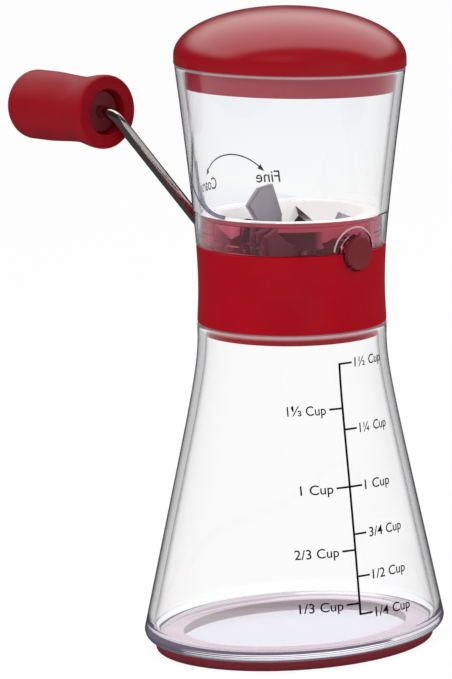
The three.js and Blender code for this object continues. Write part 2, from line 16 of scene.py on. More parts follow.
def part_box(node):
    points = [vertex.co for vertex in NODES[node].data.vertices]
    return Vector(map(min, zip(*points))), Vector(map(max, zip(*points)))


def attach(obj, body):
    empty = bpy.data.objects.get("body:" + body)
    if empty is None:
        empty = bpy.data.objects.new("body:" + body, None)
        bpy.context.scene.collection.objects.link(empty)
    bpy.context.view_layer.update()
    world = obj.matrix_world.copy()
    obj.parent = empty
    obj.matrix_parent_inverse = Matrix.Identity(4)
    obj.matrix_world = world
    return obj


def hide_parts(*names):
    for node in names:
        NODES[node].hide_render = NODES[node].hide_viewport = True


bl_info = {
    "name": "Hand crank nut and food chopper",
    "version": (1, 0, 0),
    "blender": (4, 5, 0),
    "location": "3D View > Sidebar > Chopper",
    "description": "Makes the looks of a hand crank chopper around its packed frame",
    "category": "Object",
}

MM = 0.001
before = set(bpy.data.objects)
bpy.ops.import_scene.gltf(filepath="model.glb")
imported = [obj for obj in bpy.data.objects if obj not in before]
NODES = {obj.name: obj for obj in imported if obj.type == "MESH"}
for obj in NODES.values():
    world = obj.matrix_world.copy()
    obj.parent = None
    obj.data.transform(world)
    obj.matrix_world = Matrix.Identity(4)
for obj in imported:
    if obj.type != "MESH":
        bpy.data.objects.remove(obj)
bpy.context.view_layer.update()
BOXES = {node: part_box(node) for node in NODES}


def low(node):
    return BOXES[node][0]


def high(node):
    return BOXES[node][1]


def middle(node):
    return (low(node) + high(node)) / 2


AXIS_Y = middle("hopper").y
SHAFT_Z = middle("front_bush").z
# Clearance of pieces that seat in each other, and the distance at which doubled corners are merged.
SEAT = 0.3 * MM
WELD = 0.002 * MM
# Roundings of small edges, from the keenest to the bluntest.
KEEN = 0.1 * MM
CRISP = 0.2 * MM
EASED = 0.3 * MM
SOFT = 0.4 * MM
BLUNT = 0.5 * MM
# How far a cutter reaches, as a multiple of what it has to pass, and the steps of a finely cut arc.
OVERCUT = 1.2
FINE_STEPS = 192
QUARTER = math.radians(90)
# The camera, fitted to the reference photograph. Its focal length is in that picture's pixels.
CAMERA_PLACE = Vector((-0.7650, -0.8261, 0.2997))
CAMERA_RIGHT = Vector((0.7357, -0.6772, -0.01425))
CAMERA_UP = Vector((0.1318, 0.1224, 0.9838))
CAMERA_BACK = CAMERA_RIGHT.cross(CAMERA_UP)
FOCAL_PIXELS = 3582
PICTURE_HEIGHT_PIXELS = 679
SENSOR = 36.0
LENS = FOCAL_PIXELS / PICTURE_HEIGHT_PIXELS * SENSOR
# The level direction that points away from the camera.
AWAY = -Vector((CAMERA_BACK.x, CAMERA_BACK.y, 0)).normalized()


def length(name, description, size):
    """A size property, written here in millimetres."""
    return FloatProperty(name=name, description=description, default=size * MM, precision=5, unit="LENGTH")


def rotation(name, description, degrees):
    """An angle property, written here in degrees."""
    default = math.radians(degrees)
    return FloatProperty(name=name, description=description, default=default, unit="ROTATION")


def ratio(name, description, value):
    return FloatProperty(name=name, description=description, default=value, min=0, max=4)


def tint(name, description, red, green, blue):
    """A colour property, written here as the eight bit values of a screen colour."""

    def linear(value):
        value /= 255
        return value / 12.92 if value <= 0.04045 else ((value + 0.055) / 1.055) ** 2.4

    mixed = (linear(red), linear(green), linear(blue))
    return FloatVectorProperty(
        name=name, description=description, subtype="COLOR", default=mixed, min=0, max=1
    )


class FlaskSizes(PropertyGroup):
    """Sizes of the clear flask and its foot."""

    rim_half_length: length("Rim half length", "Half the long way across the base", 49.9)
    rim_half_depth: length("Rim half depth", "Half the short way across the base", 40.4)
    rim_height: length("Rim height", "Height at which the base is widest", 6.4)
    base_inset: length("Base inset", "How far the underside draws in from the rim", 2.9)
    wall: length("Wall", "Thickness of the clear wall", 2.5)
    floor: length("Floor", "Thickness of the clear floor", 2.7)
    fillet: length("Floor fillet", "Rounding between the wall and the floor inside", 2.5)
    neck_straight: length("Neck straight", "Straight run of wall under the neck", 3.2)
    flare_ease: length("Flare ease", "How slowly the wall turns into its flare", 13)
    lip_round: length("Lip rounding", "Rounding of the neck's lip", 0.6)
    turn: rotation("Turn", "How far the flask is turned in its neck", -14)
    foot_inset: length("Foot inset", "How far the foot sits in from the rim", 3.7)
    foot_bulge: length("Foot bulge", "How far the foot's side swells", 0.4)
    foot_side_round: length("Foot side rounding", "Rounding of that swelling", 1.2)
    foot_width: length("Foot width", "Width of the foot's ring", 8.7)
    foot_tread_round: length("Foot tread rounding", "Rounding of the foot's inner lower edge", 0.6)


class WaistSizes(PropertyGroup):
    """Sizes of the red waist and the tinted chamber in it."""

    radius: length("Radius", "Outside of the waist", 29.8)
    draw_in: length("Draw in", "How far the waist draws in at the middle", 0.45)
    draw_margin: length("Draw in margin", "Where the draw in starts, from the waist's edges", 1.5)
    wall: length("Wall", "Thickness of the waist's wall", 2.6)
    spigot_depth: length("Spigot depth", "How deep the spigot reaches into the neck", 3.5)
    spigot_clearance: length("Spigot clearance", "Gap between the spigot and the neck", 0.3)
    spigot_wall: length("Spigot wall", "Thickness of the spigot", 2.3)
    ledge: length("Ledge", "Thickness of the ledge over the spigot", 2.5)
    edge_round: length("Edge rounding", "Rounding of the waist's edges", 0.8)
    notch_radius: length("Notch radius", "Half round notch for the shaft", 5.75)
    chamber_wall: length("Chamber wall", "Thickness of the chamber's wall", 1.8)
    comb_ledge: length("Comb ledge", "How far the ledge for the combs stands in and slopes", 2.1)
    comb_ledge_side: length("Comb ledge side", "Height of that ledge's upright side", 1.8)
    bead_rise: length("Bead rise", "Height of the snap bead over the waist", 2.2)
    bead_height: length("Bead height", "Height of the snap bead", 2)
    bead: length("Bead", "How far the snap bead stands out", 0.15)
    bead_flat_start: ratio("Bead flat start", "Where the bead's flat starts, in its height", 0.3)
    bead_flat_end: ratio("Bead flat end", "Where the bead's flat ends, in its height", 0.6)
    collar_radius: length("Collar radius", "Outside of the chamber's collar", 28.55)
    rebate_radius: length("Rebate radius", "Rebate for the feed funnel in the collar", 26.6)
    rebate_depth: length("Rebate depth", "Depth of that rebate", 1.7)
    boss_radius: length("Boss radius", "Outside of the bearing bosses", 5.6)
    boss_bore: length("Boss bore", "Bore of the bearing bosses", 3.8)
    boss_inner: length("Boss reach", "Where the bosses end, from the middle", 17.5)
    ring_radius: length("Boss ring", "Radius of the moulded ring around the front boss", 8.1)
    ring_thickness: length("Boss ring thickness", "Half the thickness of that ring", 0.3)


class FunnelSizes(PropertyGroup):
    """Sizes of the white feed funnel in the collar."""

    lip_radius: length("Lip radius", "Outside of the thin lip over the collar", 28.3)
    lip_thickness: length("Lip thickness", "Thickness of that lip", 0.18)
    lip_gap: length("Lip gap", "Gap between that lip and the collar", 0.02)
    flange_radius: length("Flange radius", "Outside of the flange in the collar's rebate", 26.3)
    flange_thickness: length("Flange thickness", "Thickness of that flange", 1.1)
    barrel_radius: length("Barrel radius", "Outside of the funnel in the chamber's bore", 24.8)
    land_radius: length("Land radius", "Where the slope starts", 23.1)
    land_round: length("Land rounding", "Rounding where the slope starts", 1.2)
    mouth_radius: length("Mouth radius", "Where the slope ends", 19.02)
    depth: length("Depth", "Depth of the slope", 7.5)
    wall: length("Wall", "Thickness of the slope", 1.8)
    sweep_radius: length("Sweep radius", "Room for the turning rotor", 18.62)
    sweep_half_length: length("Sweep half length", "Half the length of that room", 15.1)
    sleeve_depth: length("Sleeve depth", "How deep the sleeve behind the rotor reaches", 13.5)
    sleeve_wall: length("Sleeve wall", "Thickness of that sleeve", 0.6)
    sleeve_turn: rotation("Sleeve turn", "Where the sleeve's cut edges stand", 47.5)


class HopperSizes(PropertyGroup):
    """Sizes of the clear hopper and its ramp."""

    flare_width: length("Flare in width", "How much the mouth is wider than the foot", 2.4)
    flare_length: length("Flare in length", "How much the mouth is longer than the foot", 10)
    width_power: ratio("Width power", "Curve of the flare in width", 1.5)
    length_power: ratio("Length power", "Curve of the flare in length", 1.05)
    wall: length("Wall", "Thickness of the hopper's wall", 2.3)
    lip_round: length("Lip rounding", "Rounding of the mouth's lip", 0.5)
    skirt_wall: length("Skirt wall", "Thickness of the skirt around the collar", 0.8)
    notch_radius: length("Notch radius", "Half round notch for the shaft", 7)
    ramp_start: length("Ramp start", "Where the ramp starts, from the middle", 15.4)
    ramp_radius: length("Ramp radius", "Curve of the ramp", 21.5)
    ramp_thickness: length("Ramp thickness", "Thickness of the ramp", 1.2)
    ramp_overlap: length("Ramp overlap", "How far the ramp reaches into the wall", 0.1)
    rail_radius: length("Rail radius", "Curve of the rail at the ramp's side", 21.5)
    rail_sweep: rotation("Rail sweep", "How far the rail follows its curve", 72)
    rail_thickness: length("Rail thickness", "Half the thickness of that rail", 0.6)
    rail_stand: ratio("Rail stand", "How far the rail stands off the wall, in that thickness", 0.6)


class LidSizes(PropertyGroup):
    """Sizes of the domed lid."""

    overhang: length("Overhang", "How far the lid stands past the mouth", 0.25)
    side: length("Side", "Straight side under the dome", 2.6)
    dome: length("Dome", "Height of the dome", 15.5)
    wall: length("Wall", "Thickness of the dome", 2)
    skirt_clearance: length("Skirt clearance", "Gap between the skirt and the mouth", 0.35)
    skirt_wall: length("Skirt wall", "Thickness of the skirt", 1.8)
    edge_round: length("Edge rounding", "Rounding of the lower edge", 0.5)


class CrankSizes(PropertyGroup):
    """Sizes of the rod, the cap, the rotor and the grip."""

    rod_radius: length("Rod radius", "Half the thickness of the steel rod", 1.85)
    stand: length("Stand", "Where the rod leaves the shaft line, from the axis", 39.5)
    splay: length("Splay", "How far the arm leans away", 3.5)
    bend: length("Bend", "Size of the rod's bends", 5)
    cap_radius: length("Cap radius", "Half the width of the end cap", 5.15)
    cap_disc: length("Cap disc", "Thickness of the end cap's disc", 1.9)
    cap_stem: length("Cap stem", "Radius of the end cap's stem", 3.2)
    cap_dish: length("Cap dish", "How far the cap's face is dished", 0.25)
    cap_dish_radius: ratio("Cap dish radius", "Where the dish is deepest, in the cap's radius", 0.6)
    cap_dish_round: length("Cap dish rounding", "Rounding of the dish", 1.5)
    cap_rim: length("Cap rim", "Width of the rim around the dish", 1.1)
    cap_face: length("Cap face", "Thickness of the cap's face over the rod", 1.1)
    cap_clearance: length("Cap clearance", "Gap between the cap's stem and the rod", 0.15)
    blade_border: length("Blade border", "Width of the ground border on a blade's side", 1.5)
    blade_relief: length("Blade relief", "How far that side lies below its border", 0.4)
    grip_face: length("Grip face", "Radius of the grip's front edge", 11.7)
    grip_waist: length("Grip waist", "Radius of the grip at its waist", 10.4)
    grip_waist_at: ratio("Grip waist place", "Where that waist is, in the grip's length", 0.3)
    grip_belly: length("Grip belly", "Radius of the grip at its belly", 11.1)
    grip_belly_at: ratio("Grip belly place", "Where that belly is, in the grip's length", 0.72)
    grip_round: length("Grip front rounding", "Rounding of the grip's front edge", 1.3)
    grip_back_round: length("Grip back rounding", "Rounding of the grip's back", 4.2)
    grip_recess: length("Grip recess", "Radius of the recess in the grip's face", 7.2)
    grip_recess_depth: length("Recess depth", "Depth of that recess", 4.6)
    grip_recess_round: length("Recess rounding", "Rounding of the recess's edge", 0.7)
    grip_recess_fillet: length("Recess fillet", "Rounding of the recess's floor", 0.8)
    grip_bore: length("Grip bore", "Radius of the grip's bore", 4.6)
    plug_radius: length("Plug radius", "Radius of the plug at the back", 6.2)
    plug_thickness: length("Plug thickness", "Thickness of the plug at the back", 1.6)


class PrintSizes(PropertyGroup):
    """Sizes of the printed cup scale and of the print on the hopper."""

    cap_height: length("Letter height", "Height of the scale's capital letters", 2.95)
    weight: length("Letter weight", "How much the letters' strokes swell", 0.03)
    line: length("Main line", "Width of the scale's upright line", 0.75)
    tick: length("Tick", "Width of the scale's ticks", 0.6)
    tick_length: length("Tick length", "Length of the scale's ticks", 4.6)
    word_gap: length("Word gap", "Gap between a tick and its words", 1.1)
    ink: length("Ink", "Thickness of the ink", 0.04)
    ink_lift: length("Ink lift", "Gap between the wall and the ink", 0.015)
    arrow_radius: length("Arrow radius", "Radius of the turning arrow", 15.3)
    arrow_line: length("Arrow line", "Width of the turning arrow's line", 0.42)
    head_length: length("Arrow head length", "Length of the arrow's heads", 2.4)
    head_half: length("Arrow head half width", "Half the width of the arrow's heads", 0.9)
    mark_height: length("Mark height", "Height of the capital letters at the arrow", 3.7)


class ChopperLooks(PropertyGroup):
    """Colours and fineness of the whole part."""

    around: IntProperty(name="Steps around", description="Steps around each oval ring", default=168, min=24)
    clear: tint("Clear plastic", "Tint of the clear flask and hopper", 255, 255, 255)
    # Partly painted shade: the grey that clear walls deepen to where they are seen along their length.
    clear_edge_shade: tint("Clear edge", "Grey of clear walls that are seen along their length", 34, 24, 54)
    # Painted shade: the rail's grey stands in for the shaded line where the ramp meets the wall.
    rail: tint("Rail", "Grey of the rail along the ramp", 138, 136, 156)
    red: tint("Red plastic", "Red of the waist", 156, 0, 20)
    lid_red: tint("Lid red", "Red of the lid", 146, 2, 20)
    # Painted light: the skirt is paler than the lid, as it looks through the hopper's clear wall.
    skirt_painted_light_red: tint("Skirt red", "Paler red of the lid's skirt", 172, 58, 74)
    grip_red: tint("Grip red", "Red of the grip", 140, 2, 20)
    foot_red: tint("Foot red", "Dark red of the rubber foot", 112, 16, 30)
    # Painted light: the foot's upward faces, under the clear floor, are paler.
    foot_top_painted_light: tint("Lit top face", "Pale face of the foot under the clear floor", 228, 198, 210)
    # Also, at a third, the painted shade on the funnel and its sleeve behind the blades.
    dark_red: tint("Dark red", "Dark red of the cap and the grip's sleeve", 112, 26, 34)
    chamber_tint: tint("Chamber tint", "Tint of the chamber", 200, 100, 118)
    # The blades' own grey; blade steel paints it darker, as in shade, and their flat faces lighter, as lit
    # facets.
    blade: tint("Blade steel", "Grey of the blades and combs", 205, 198, 210)
    rod: tint("Rod steel", "Grey of the polished rod", 205, 200, 196)
    nylon: tint("Nylon", "Dark grey of the bushes and the rotor's core", 46, 38, 42)
    white: tint("White plastic", "White of the feed funnel", 253, 253, 251)
    # Painted highlight: the pale pink of the thin ring around the end cap.
    edge: tint("Collar edge", "Pale pink of the thin edges of the collar", 224, 176, 186)
    ink: tint("Ink", "Black of the print", 8, 8, 11)


class Field:
    """A socket of a node tree that can be reckoned with."""

    def __init__(self, graph, socket):
        self.graph = graph
        self.socket = socket

    def output(self, name):
        """Another output of the node that this field comes from."""
        return Field(self.graph, self.graph.pick(self.socket.node.outputs, name))

    def math(self, operation, *values):
        settings = {"operation": operation}
        return self.graph.node("ShaderNodeMath", settings, dict(enumerate(values)))

    def __add__(self, other):
        return self.math("ADD", self, other)

    def __sub__(self, other):
        return self.math("SUBTRACT", self, other)

    def __rsub__(self, other):
        return self.math("SUBTRACT", other, self)

    def __mul__(self, other):
        return self.math("MULTIPLY", self, other)

    def __truediv__(self, other):
        return self.math("DIVIDE", self, other)

    __radd__ = __add__
    __rmul__ = __mul__

    def floor(self):
        return self.math("FLOOR", self)

    def size(self):
        return self.math("ABSOLUTE", self)

    def sine(self):
        return self.math("SINE", self)

    def cosine(self):
        return self.math("COSINE", self)

    def above(self, other):
        return self.math("MAXIMUM", self, other)

    def below(self, other):
        return self.math("MINIMUM", self, other)


class Graph:
    """A node tree with one method that makes any node in it."""

    def __init__(self, tree):
        self.tree = tree
        self.tree.nodes.clear()

    @staticmethod
    def pick(sockets, name):
        if isinstance(name, int):
            return sockets[name]
        return next(socket for socket in sockets if socket.name == name and socket.enabled)

    def node(self, kind, settings=None, values=None, output=0):
        """Makes a node, first with its settings and then with the values or links of its sockets."""
        made = self.tree.nodes.new(kind)
        for key, value in (settings or {}).items():
            if key == "stops":
                while len(made.color_ramp.elements) < len(value):
                    made.color_ramp.elements.new(1)
                for element, (place, colour) in zip(made.color_ramp.elements, value):
                    element.position = place
                    element.color = (*colour, 1)
            else:
                setattr(made, key, value)
        for key, value in (values or {}).items():
            socket = self.pick(made.inputs, key)
            if isinstance(value, Field):
                self.tree.links.new(value.socket, socket)
            else:
                socket.default_value = value
        if not made.outputs:
            return None
        return Field(self, self.pick(made.outputs, output))

    def blend(self, amount, first, second):
        """One colour turning into another."""
        settings = {"data_type": "RGBA", "blend_type": "MIX"}
        values = {"Factor": amount, "A": first, "B": second}
        return self.node("ShaderNodeMix", settings, values, "Result")

    def smooth(self, value, start, end, low_end=0.0, high_end=1.0):
        """A soft step of a value between two places."""
        values = {"Value": value, "From Min": start, "From Max": end, "To Min": low_end, "To Max": high_end}
        return self.node("ShaderNodeMapRange", {"interpolation_type": "SMOOTHSTEP"}, values)

    def vector(self, operation, *values):
        """Vector maths, which gives a number for a dot product or a length and a vector otherwise."""
        output = "Value" if operation in ("DOT_PRODUCT", "LENGTH") else "Vector"
        return self.node("ShaderNodeVectorMath", {"operation": operation}, dict(enumerate(values)), output)

    def upward(self, vector):
        """The part of a vector along Z."""
        return self.node("ShaderNodeSeparateXYZ", None, {"Vector": vector}, "Z")


class Finish(Graph):
    """The nodes of one material."""

    def __init__(self, name):
        self.material = bpy.data.materials.new(name)
        self.material.use_nodes = True
        super().__init__(self.material.node_tree)
        self.place = self.node("ShaderNodeTexCoord", output="Object")

    def grain(self, per_metre, detail=3.0, stretch=(1, 1, 1)):
        """Fine noise with so many grains to the metre, drawn out along an axis where stretch is small."""
        place = self.node("ShaderNodeMapping", None, {"Vector": self.place, "Scale": stretch})
        values = {"Vector": place, "Scale": per_metre, "Detail": detail, "Roughness": 0.55}
        return self.node("ShaderNodeTexNoise", None, values)

    def wandering(self, smoothest, roughest):
        """Roughness that wanders slowly between two values."""
        return self.smooth(self.grain(90, 1), 0.3, 0.75, smoothest, roughest)

    def height(self):
        """Height over the floor, for looks that change up a piece."""
        return self.upward(self.place)

    def facing_up(self):
        """One where the surface looks up, and minus one where it looks down."""
        return self.upward(self.node("ShaderNodeNewGeometry", output="Normal"))

    def bump(self, height, depth, strength=1.0):
        """A surface normal from heights of so many millimetres."""
        values = {"Height": height, "Distance": depth * MM, "Strength": strength}
        return self.node("ShaderNodeBump", None, values)

    def through(self, colour, edge):
        """The colour of a clear wall, which deepens where an upright wall is seen along its length: partly
        the longer path through the wall, and partly painted shade for the dark edges that refraction would
        show.
        """
        along = self.node("ShaderNodeLayerWeight", None, {"Blend": 0.5}, "Facing")
        upright = self.smooth(self.facing_up().size(), 0.45, 0.8, 1, 0)
        return self.blend(self.smooth(along, 0.68, 0.9) * upright, colour, edge)

    def plastic(self, colour, roughness, bump, extra=None):
        values = {"Base Color": colour, "Roughness": roughness, "Normal": bump}
        values.update(extra or {})
        return self.node("ShaderNodeBsdfPrincipled", None, values)

    def done(self, shader):
        self.node("ShaderNodeOutputMaterial", None, {"Surface": shader})
        return self.material

    def see_through(self, colour, bend, roughness, bump, shadow_tint, extra=None):
        """Plastic that bends the light by an index, but lets lamp light go straight through with a tint."""
        values = {"IOR": bend, "Transmission Weight": 1.0, **(extra or {})}
        shader = self.plastic(colour, roughness, bump, values)
        straight = self.node("ShaderNodeBsdfTransparent", None, {"Color": shadow_tint})
        shadow = self.node("ShaderNodeLightPath", output="Is Shadow Ray")
        return self.done(self.node("ShaderNodeMixShader", None, {0: shadow, 1: shader, 2: straight}))


def opaque(colour, factor=1.0):
    return tuple(min(1, part * factor) for part in colour) + (1,)


FINISHES = {}


def finish(name):
    """The material of that name, made the first time it is asked for."""
    if name not in FINISHES:
        FINISHES[name] = MAKERS[name](Finish(name), bpy.context.scene.chopper_looks)
    return FINISHES[name]


# Painted glow, for light that thick edges of clear plastic carry round, which the renderer would cut off.
# The tinted chamber gets a faint painted glow all over.
RIM_GLOW = (0.022, 0.019, 0.027, 1)
LIP_GLOW = (0.16, 0.15, 0.16, 1)
CHAMBER_GLOW = (0.016, 0.003, 0.005, 1)
# Heights between which that light fades, from the floor or from the top of the neck or the mouth.
RIM_FADE = (8 * MM, 10 * MM)
NECK_LIP_FADE = (-1.6 * MM, -0.6 * MM)
MOUTH_LIP_FADE = (-0.9 * MM, -0.3 * MM)
# Height over which the lid turns from its own red to its skirt's paler red, which is painted light.
SKIRT_FADE = 0.5 * MM


def clear_plastic(surface, looks):
    """Clear moulded plastic: a faint waviness, fine handling marks, a painted glow in its rim and lips, and
    edges partly painted in shade.
    """
    roughness = surface.smooth(surface.grain(900, 4, (1, 1, 0.25)), 0.45, 0.8, 0.015, 0.05)
    bump = surface.bump(surface.grain(38, 1), 0.05, 0.35)
    level = surface.height()
    over_neck, over_mouth = level - high("container").z, level - high("hopper").z
    rim = surface.smooth(level, *RIM_FADE, 1, 0)
    neck_lip = surface.smooth(over_neck, *NECK_LIP_FADE) * surface.smooth(over_neck, 0, MM, 1, 0)
    mouth_lip = surface.smooth(over_mouth, *MOUTH_LIP_FADE)
    glow = surface.blend(rim, (0, 0, 0, 1), RIM_GLOW)
    glow = surface.blend((neck_lip + mouth_lip).below(1), glow, LIP_GLOW)
    extra = {"Specular Tint": (0.4, 0.4, 0.4, 1), "Emission Color": glow, "Emission Strength": 1.0}
    colour = surface.through(opaque(looks.clear), opaque(looks.clear_edge_shade))
    return surface.see_through(colour, 1.49, roughness, bump, (0.95, 0.95, 0.96, 1), extra)


def ramp_plastic(surface, looks):
    """Very clear plastic of the ramp, which hardly bends the light."""
    roughness = surface.smooth(surface.grain(900, 4), 0.45, 0.8, 0.02, 0.06)
    bump = surface.bump(surface.grain(38, 1), 0.04, 0.3)
    return surface.see_through(opaque(looks.clear), 1.02, roughness, bump, (0.97, 0.97, 0.98, 1))


def rail_plastic(surface, looks):
    """Painted shade: the greyer plastic of the rail along the ramp."""
    roughness = surface.smooth(surface.grain(900, 4), 0.45, 0.8, 0.05, 0.1)
    bump = surface.bump(surface.grain(60, 1), 0.04, 0.3)
    colour = surface.through(opaque(looks.rail), opaque(looks.clear_edge_shade))
    return surface.see_through(colour, 1.12, roughness, bump, opaque(looks.rail))


def chamber_plastic(surface, looks):
    """Tinted see-through plastic of the grinding chamber, with a faint painted glow."""
    roughness = surface.smooth(surface.grain(1200, 3), 0.4, 0.8, 0.04, 0.12)
    bump = surface.bump(surface.grain(60, 1), 0.06, 0.4)
    extra = {
        "Specular Tint": (0.5, 0.5, 0.5, 1),
        "Emission Color": CHAMBER_GLOW,
        "Emission Strength": 1.0,
    }
    return surface.see_through(opaque(looks.chamber_tint), 1.45, roughness, bump, (0.8, 0.35, 0.4, 1), extra)


def grained(surface, shade, smoothest, roughest, grain_depth, extra=None):
    """A moulded surface with a fine grain and a gloss that wanders a little."""
    bump = surface.bump(surface.grain(1500, 1), grain_depth)
    return surface.done(surface.plastic(shade, surface.wandering(smoothest, roughest), bump, extra))


def moulded(surface, colour, gloss, patchiness, grain_depth, extra=None):
    """Opaque moulded plastic in one cloudy colour."""
    cloud = surface.smooth(surface.grain(55, 2), 0.3, 0.7)
    shade = surface.blend(cloud, opaque(colour, 1 - patchiness), opaque(colour, 1 + patchiness))
    return grained(surface, shade, gloss - 0.02, gloss + 0.03, grain_depth, extra)


def red_plastic(surface, looks):
    """Glossy red of the waist."""
    return moulded(surface, looks.red, 0.24, 0.05, 0.001, {"Specular IOR Level": 0.2})


def lid_plastic(surface, looks):
    """Satin red of the lid, with painted light on its skirt: a little paler there."""
    edge = high("hopper").z
    # Painted light: the skirt, seen through the hopper's clear wall, is paler.
    skirt = surface.smooth(surface.height(), edge - SKIRT_FADE, edge, 1, 0)
    shade = surface.blend(surface.grain(55, 2), opaque(looks.lid_red, 0.95), opaque(looks.lid_red, 1.05))
    shade = surface.blend(skirt, shade, opaque(looks.skirt_painted_light_red))
    return grained(surface, shade, 0.2, 0.25, 0.002, {"Specular IOR Level": 0.65})


def grip_plastic(surface, looks):
    """Matte soft-touch red of the grip."""
    return moulded(surface, looks.grip_red, 0.46, 0.06, 0.035, {"Specular IOR Level": 0.15})


def foot_rubber(surface, looks):
    """Dark red rubber with a coarse matte grain, with painted light: pale where it faces up under the clear
    floor.
    """
    side = surface.blend(surface.grain(55, 2), opaque(looks.foot_red, 0.9), opaque(looks.foot_red, 1.1))
    # Painted light: faces that look up are paler.
    shade = surface.blend(surface.smooth(surface.facing_up(), 0.6, 0.95), side, opaque(looks.foot_top_painted_light))
    return grained(surface, shade, 0.58, 0.66, 0.05)


def cap_plastic(surface, looks):
    """Dark matte red of the end cap and the grip's sleeve."""
    return moulded(surface, looks.dark_red, 0.5, 0.06, 0.02)


def nylon(surface, looks):
    """Grey bearing nylon."""
    return moulded(surface, looks.nylon, 0.45, 0.06, 0.02)


# How far across the picture the blades stand before the funnel: their soft left and right edges, between
# which shade is painted.
BLADES_LEFT = (-22 * MM, -18 * MM)
BLADES_RIGHT = (6 * MM, 10 * MM)


def pale_plastic(surface, looks, shaded, painted_glow):
    """White plastic with painted shade for the given share of it behind the rotor's blades, and a painted
    glow of the given strength.
    """
    across = surface.vector("DOT_PRODUCT", surface.place, (CAMERA_RIGHT.x, CAMERA_RIGHT.y, 0))
    across = across - AXIS_Y * CAMERA_RIGHT.y
    # Painted shade: dark red behind the rotor's blades.
    behind = surface.smooth(across, *BLADES_LEFT) * surface.smooth(across, *BLADES_RIGHT, 1, 0) * shaded
    shade = surface.blend(behind, opaque(looks.white), opaque(looks.dark_red, 0.3))
    bump = surface.bump(surface.grain(90, 1), 0.01)
    # Painted glow: the plastic gives off light of its own colour.
    extra = {"Emission Color": shade, "Emission Strength": painted_glow}
    return surface.done(surface.plastic(shade, surface.wandering(0.32, 0.37), bump, extra))


def white_plastic(surface, looks):
    """White plastic of the feed funnel, with painted shade on the underside behind the blades and a painted
    glow.
    """
    return pale_plastic(surface, looks, surface.smooth(surface.facing_up(), -0.35, -0.1, 1, 0), 0.3)


def sleeve_plastic(surface, looks):
    """The sleeve behind the rotor: pale at its ends, with painted shade behind the rotor's blades and a faint
    painted glow.
    """
    return pale_plastic(surface, looks, 1, 0.05)


def edge_plastic(surface, looks):
    """Painted highlight: thin moulded edges of the collar in a pale pink, for the light that they catch."""
    return moulded(surface, looks.edge, 0.3, 0.04, 0.002)


def printed_ink(surface, looks):
    """Screen printed black, slightly uneven."""
    return moulded(surface, looks.ink, 0.4, 0.15, 0.004)


def blade_steel(surface, looks):
    """Ground steel with fine scratches and cloudy gloss, with painted shade and painted light: darkened, as
    in the shade inside the chamber, and lighter on the flat faces, as lit facets.
    """
    scratches = surface.grain(2200, 3, (1, 1, 0.08))
    cloud = surface.grain(180, 3)
    painted_facet_light = surface.node("ShaderNodeAttribute", {"attribute_name": "ground"}, output="Fac")
    # Painted shade: the grey is darkened to a third or more. Painted light: the faces marked in blade() are
    # lighter.
    shade = surface.blend(cloud, opaque(looks.blade, 0.3), opaque(looks.blade, 0.4))
    shade = surface.blend(painted_facet_light, shade, opaque(looks.blade, 0.72))
    roughness = surface.smooth(scratches, 0.3, 0.75, 0.28, 0.42)
    bump = surface.bump(scratches, 0.01)
    return surface.done(surface.plastic(shade, roughness, bump, {"Metallic": 0.35}))


def rod_steel(surface, looks):
    """Polished steel rod with faint drawn lines along it."""
    lines = surface.grain(3000, 2, (0.05, 0.05, 1))
    smear = surface.grain(240, 3)
    shade = surface.blend(smear, opaque(looks.rod, 0.92), opaque(looks.rod, 1.05))
    roughness = surface.smooth(smear, 0.35, 0.7, 0.08, 0.17)
    return surface.done(surface.plastic(shade, roughness, surface.bump(lines, 0.004), {"Metallic": 1.0}))


MAKERS = {
    maker.__name__: maker
    for maker in (
        clear_plastic,
        ramp_plastic,
        rail_plastic,
        chamber_plastic,
        red_plastic,
        lid_plastic,
        grip_plastic,
        foot_rubber,
        cap_plastic,
        nylon,
        white_plastic,
        sleeve_plastic,
        edge_plastic,
        printed_ink,
        blade_steel,
        rod_steel,
    )
}


class Recipe(Graph):
    """A geometry tree with named inputs, which ends in Realize Instances and Set Material."""

    def __init__(self, name, inputs):
        tree = bpy.data.node_groups.new(name, "GeometryNodeTree")
        super().__init__(tree)
        self.keys = {}
        tree.interface.new_socket(name="Geometry", in_out="INPUT", socket_type="NodeSocketGeometry")
        for title, kind in inputs.items():
            made = tree.interface.new_socket(name=title, in_out="INPUT", socket_type="NodeSocket" + kind)
            self.keys[title] = made.identifier
        made = tree.interface.new_socket(name="Finish", in_out="INPUT", socket_type="NodeSocketMaterial")
        self.keys["Finish"] = made.identifier
        tree.interface.new_socket(name="Geometry", in_out="OUTPUT", socket_type="NodeSocketGeometry")
        self.entry = self.node("NodeGroupInput")

    def given(self, name):
        return self.entry.output(name)

    def close(self, shape):
        realised = self.node("GeometryNodeRealizeInstances", None, {"Geometry": shape})
        values = {"Geometry": realised, "Material": self.given("Finish")}
        dressed = self.node("GeometryNodeSetMaterial", None, values)
        self.node("NodeGroupOutput", None, {"Geometry": dressed})
        return self

    def apply(self, name, points, values, material):
        """Runs the tree on a chain of points and returns the result as a plain mesh object."""
        links = [(number, number + 1) for number in range(len(points) - 1)]
        mesh = bpy.data.meshes.new(name + "_points")
        mesh.from_pydata([tuple(point) for point in points], links, [])
        source = link(bpy.data.objects.new(name + "_source", mesh))
        modifier = source.modifiers.new(self.tree.name, "NODES")
        modifier.node_group = self.tree
        for title, value in {**values, "Finish": material}.items():
            modifier[self.keys[title]] = value
        made = plain(source, name)
        made.data.materials.clear()
        made.data.materials.append(material)
        return made


def link(made):
    bpy.context.scene.collection.objects.link(made)
    return made


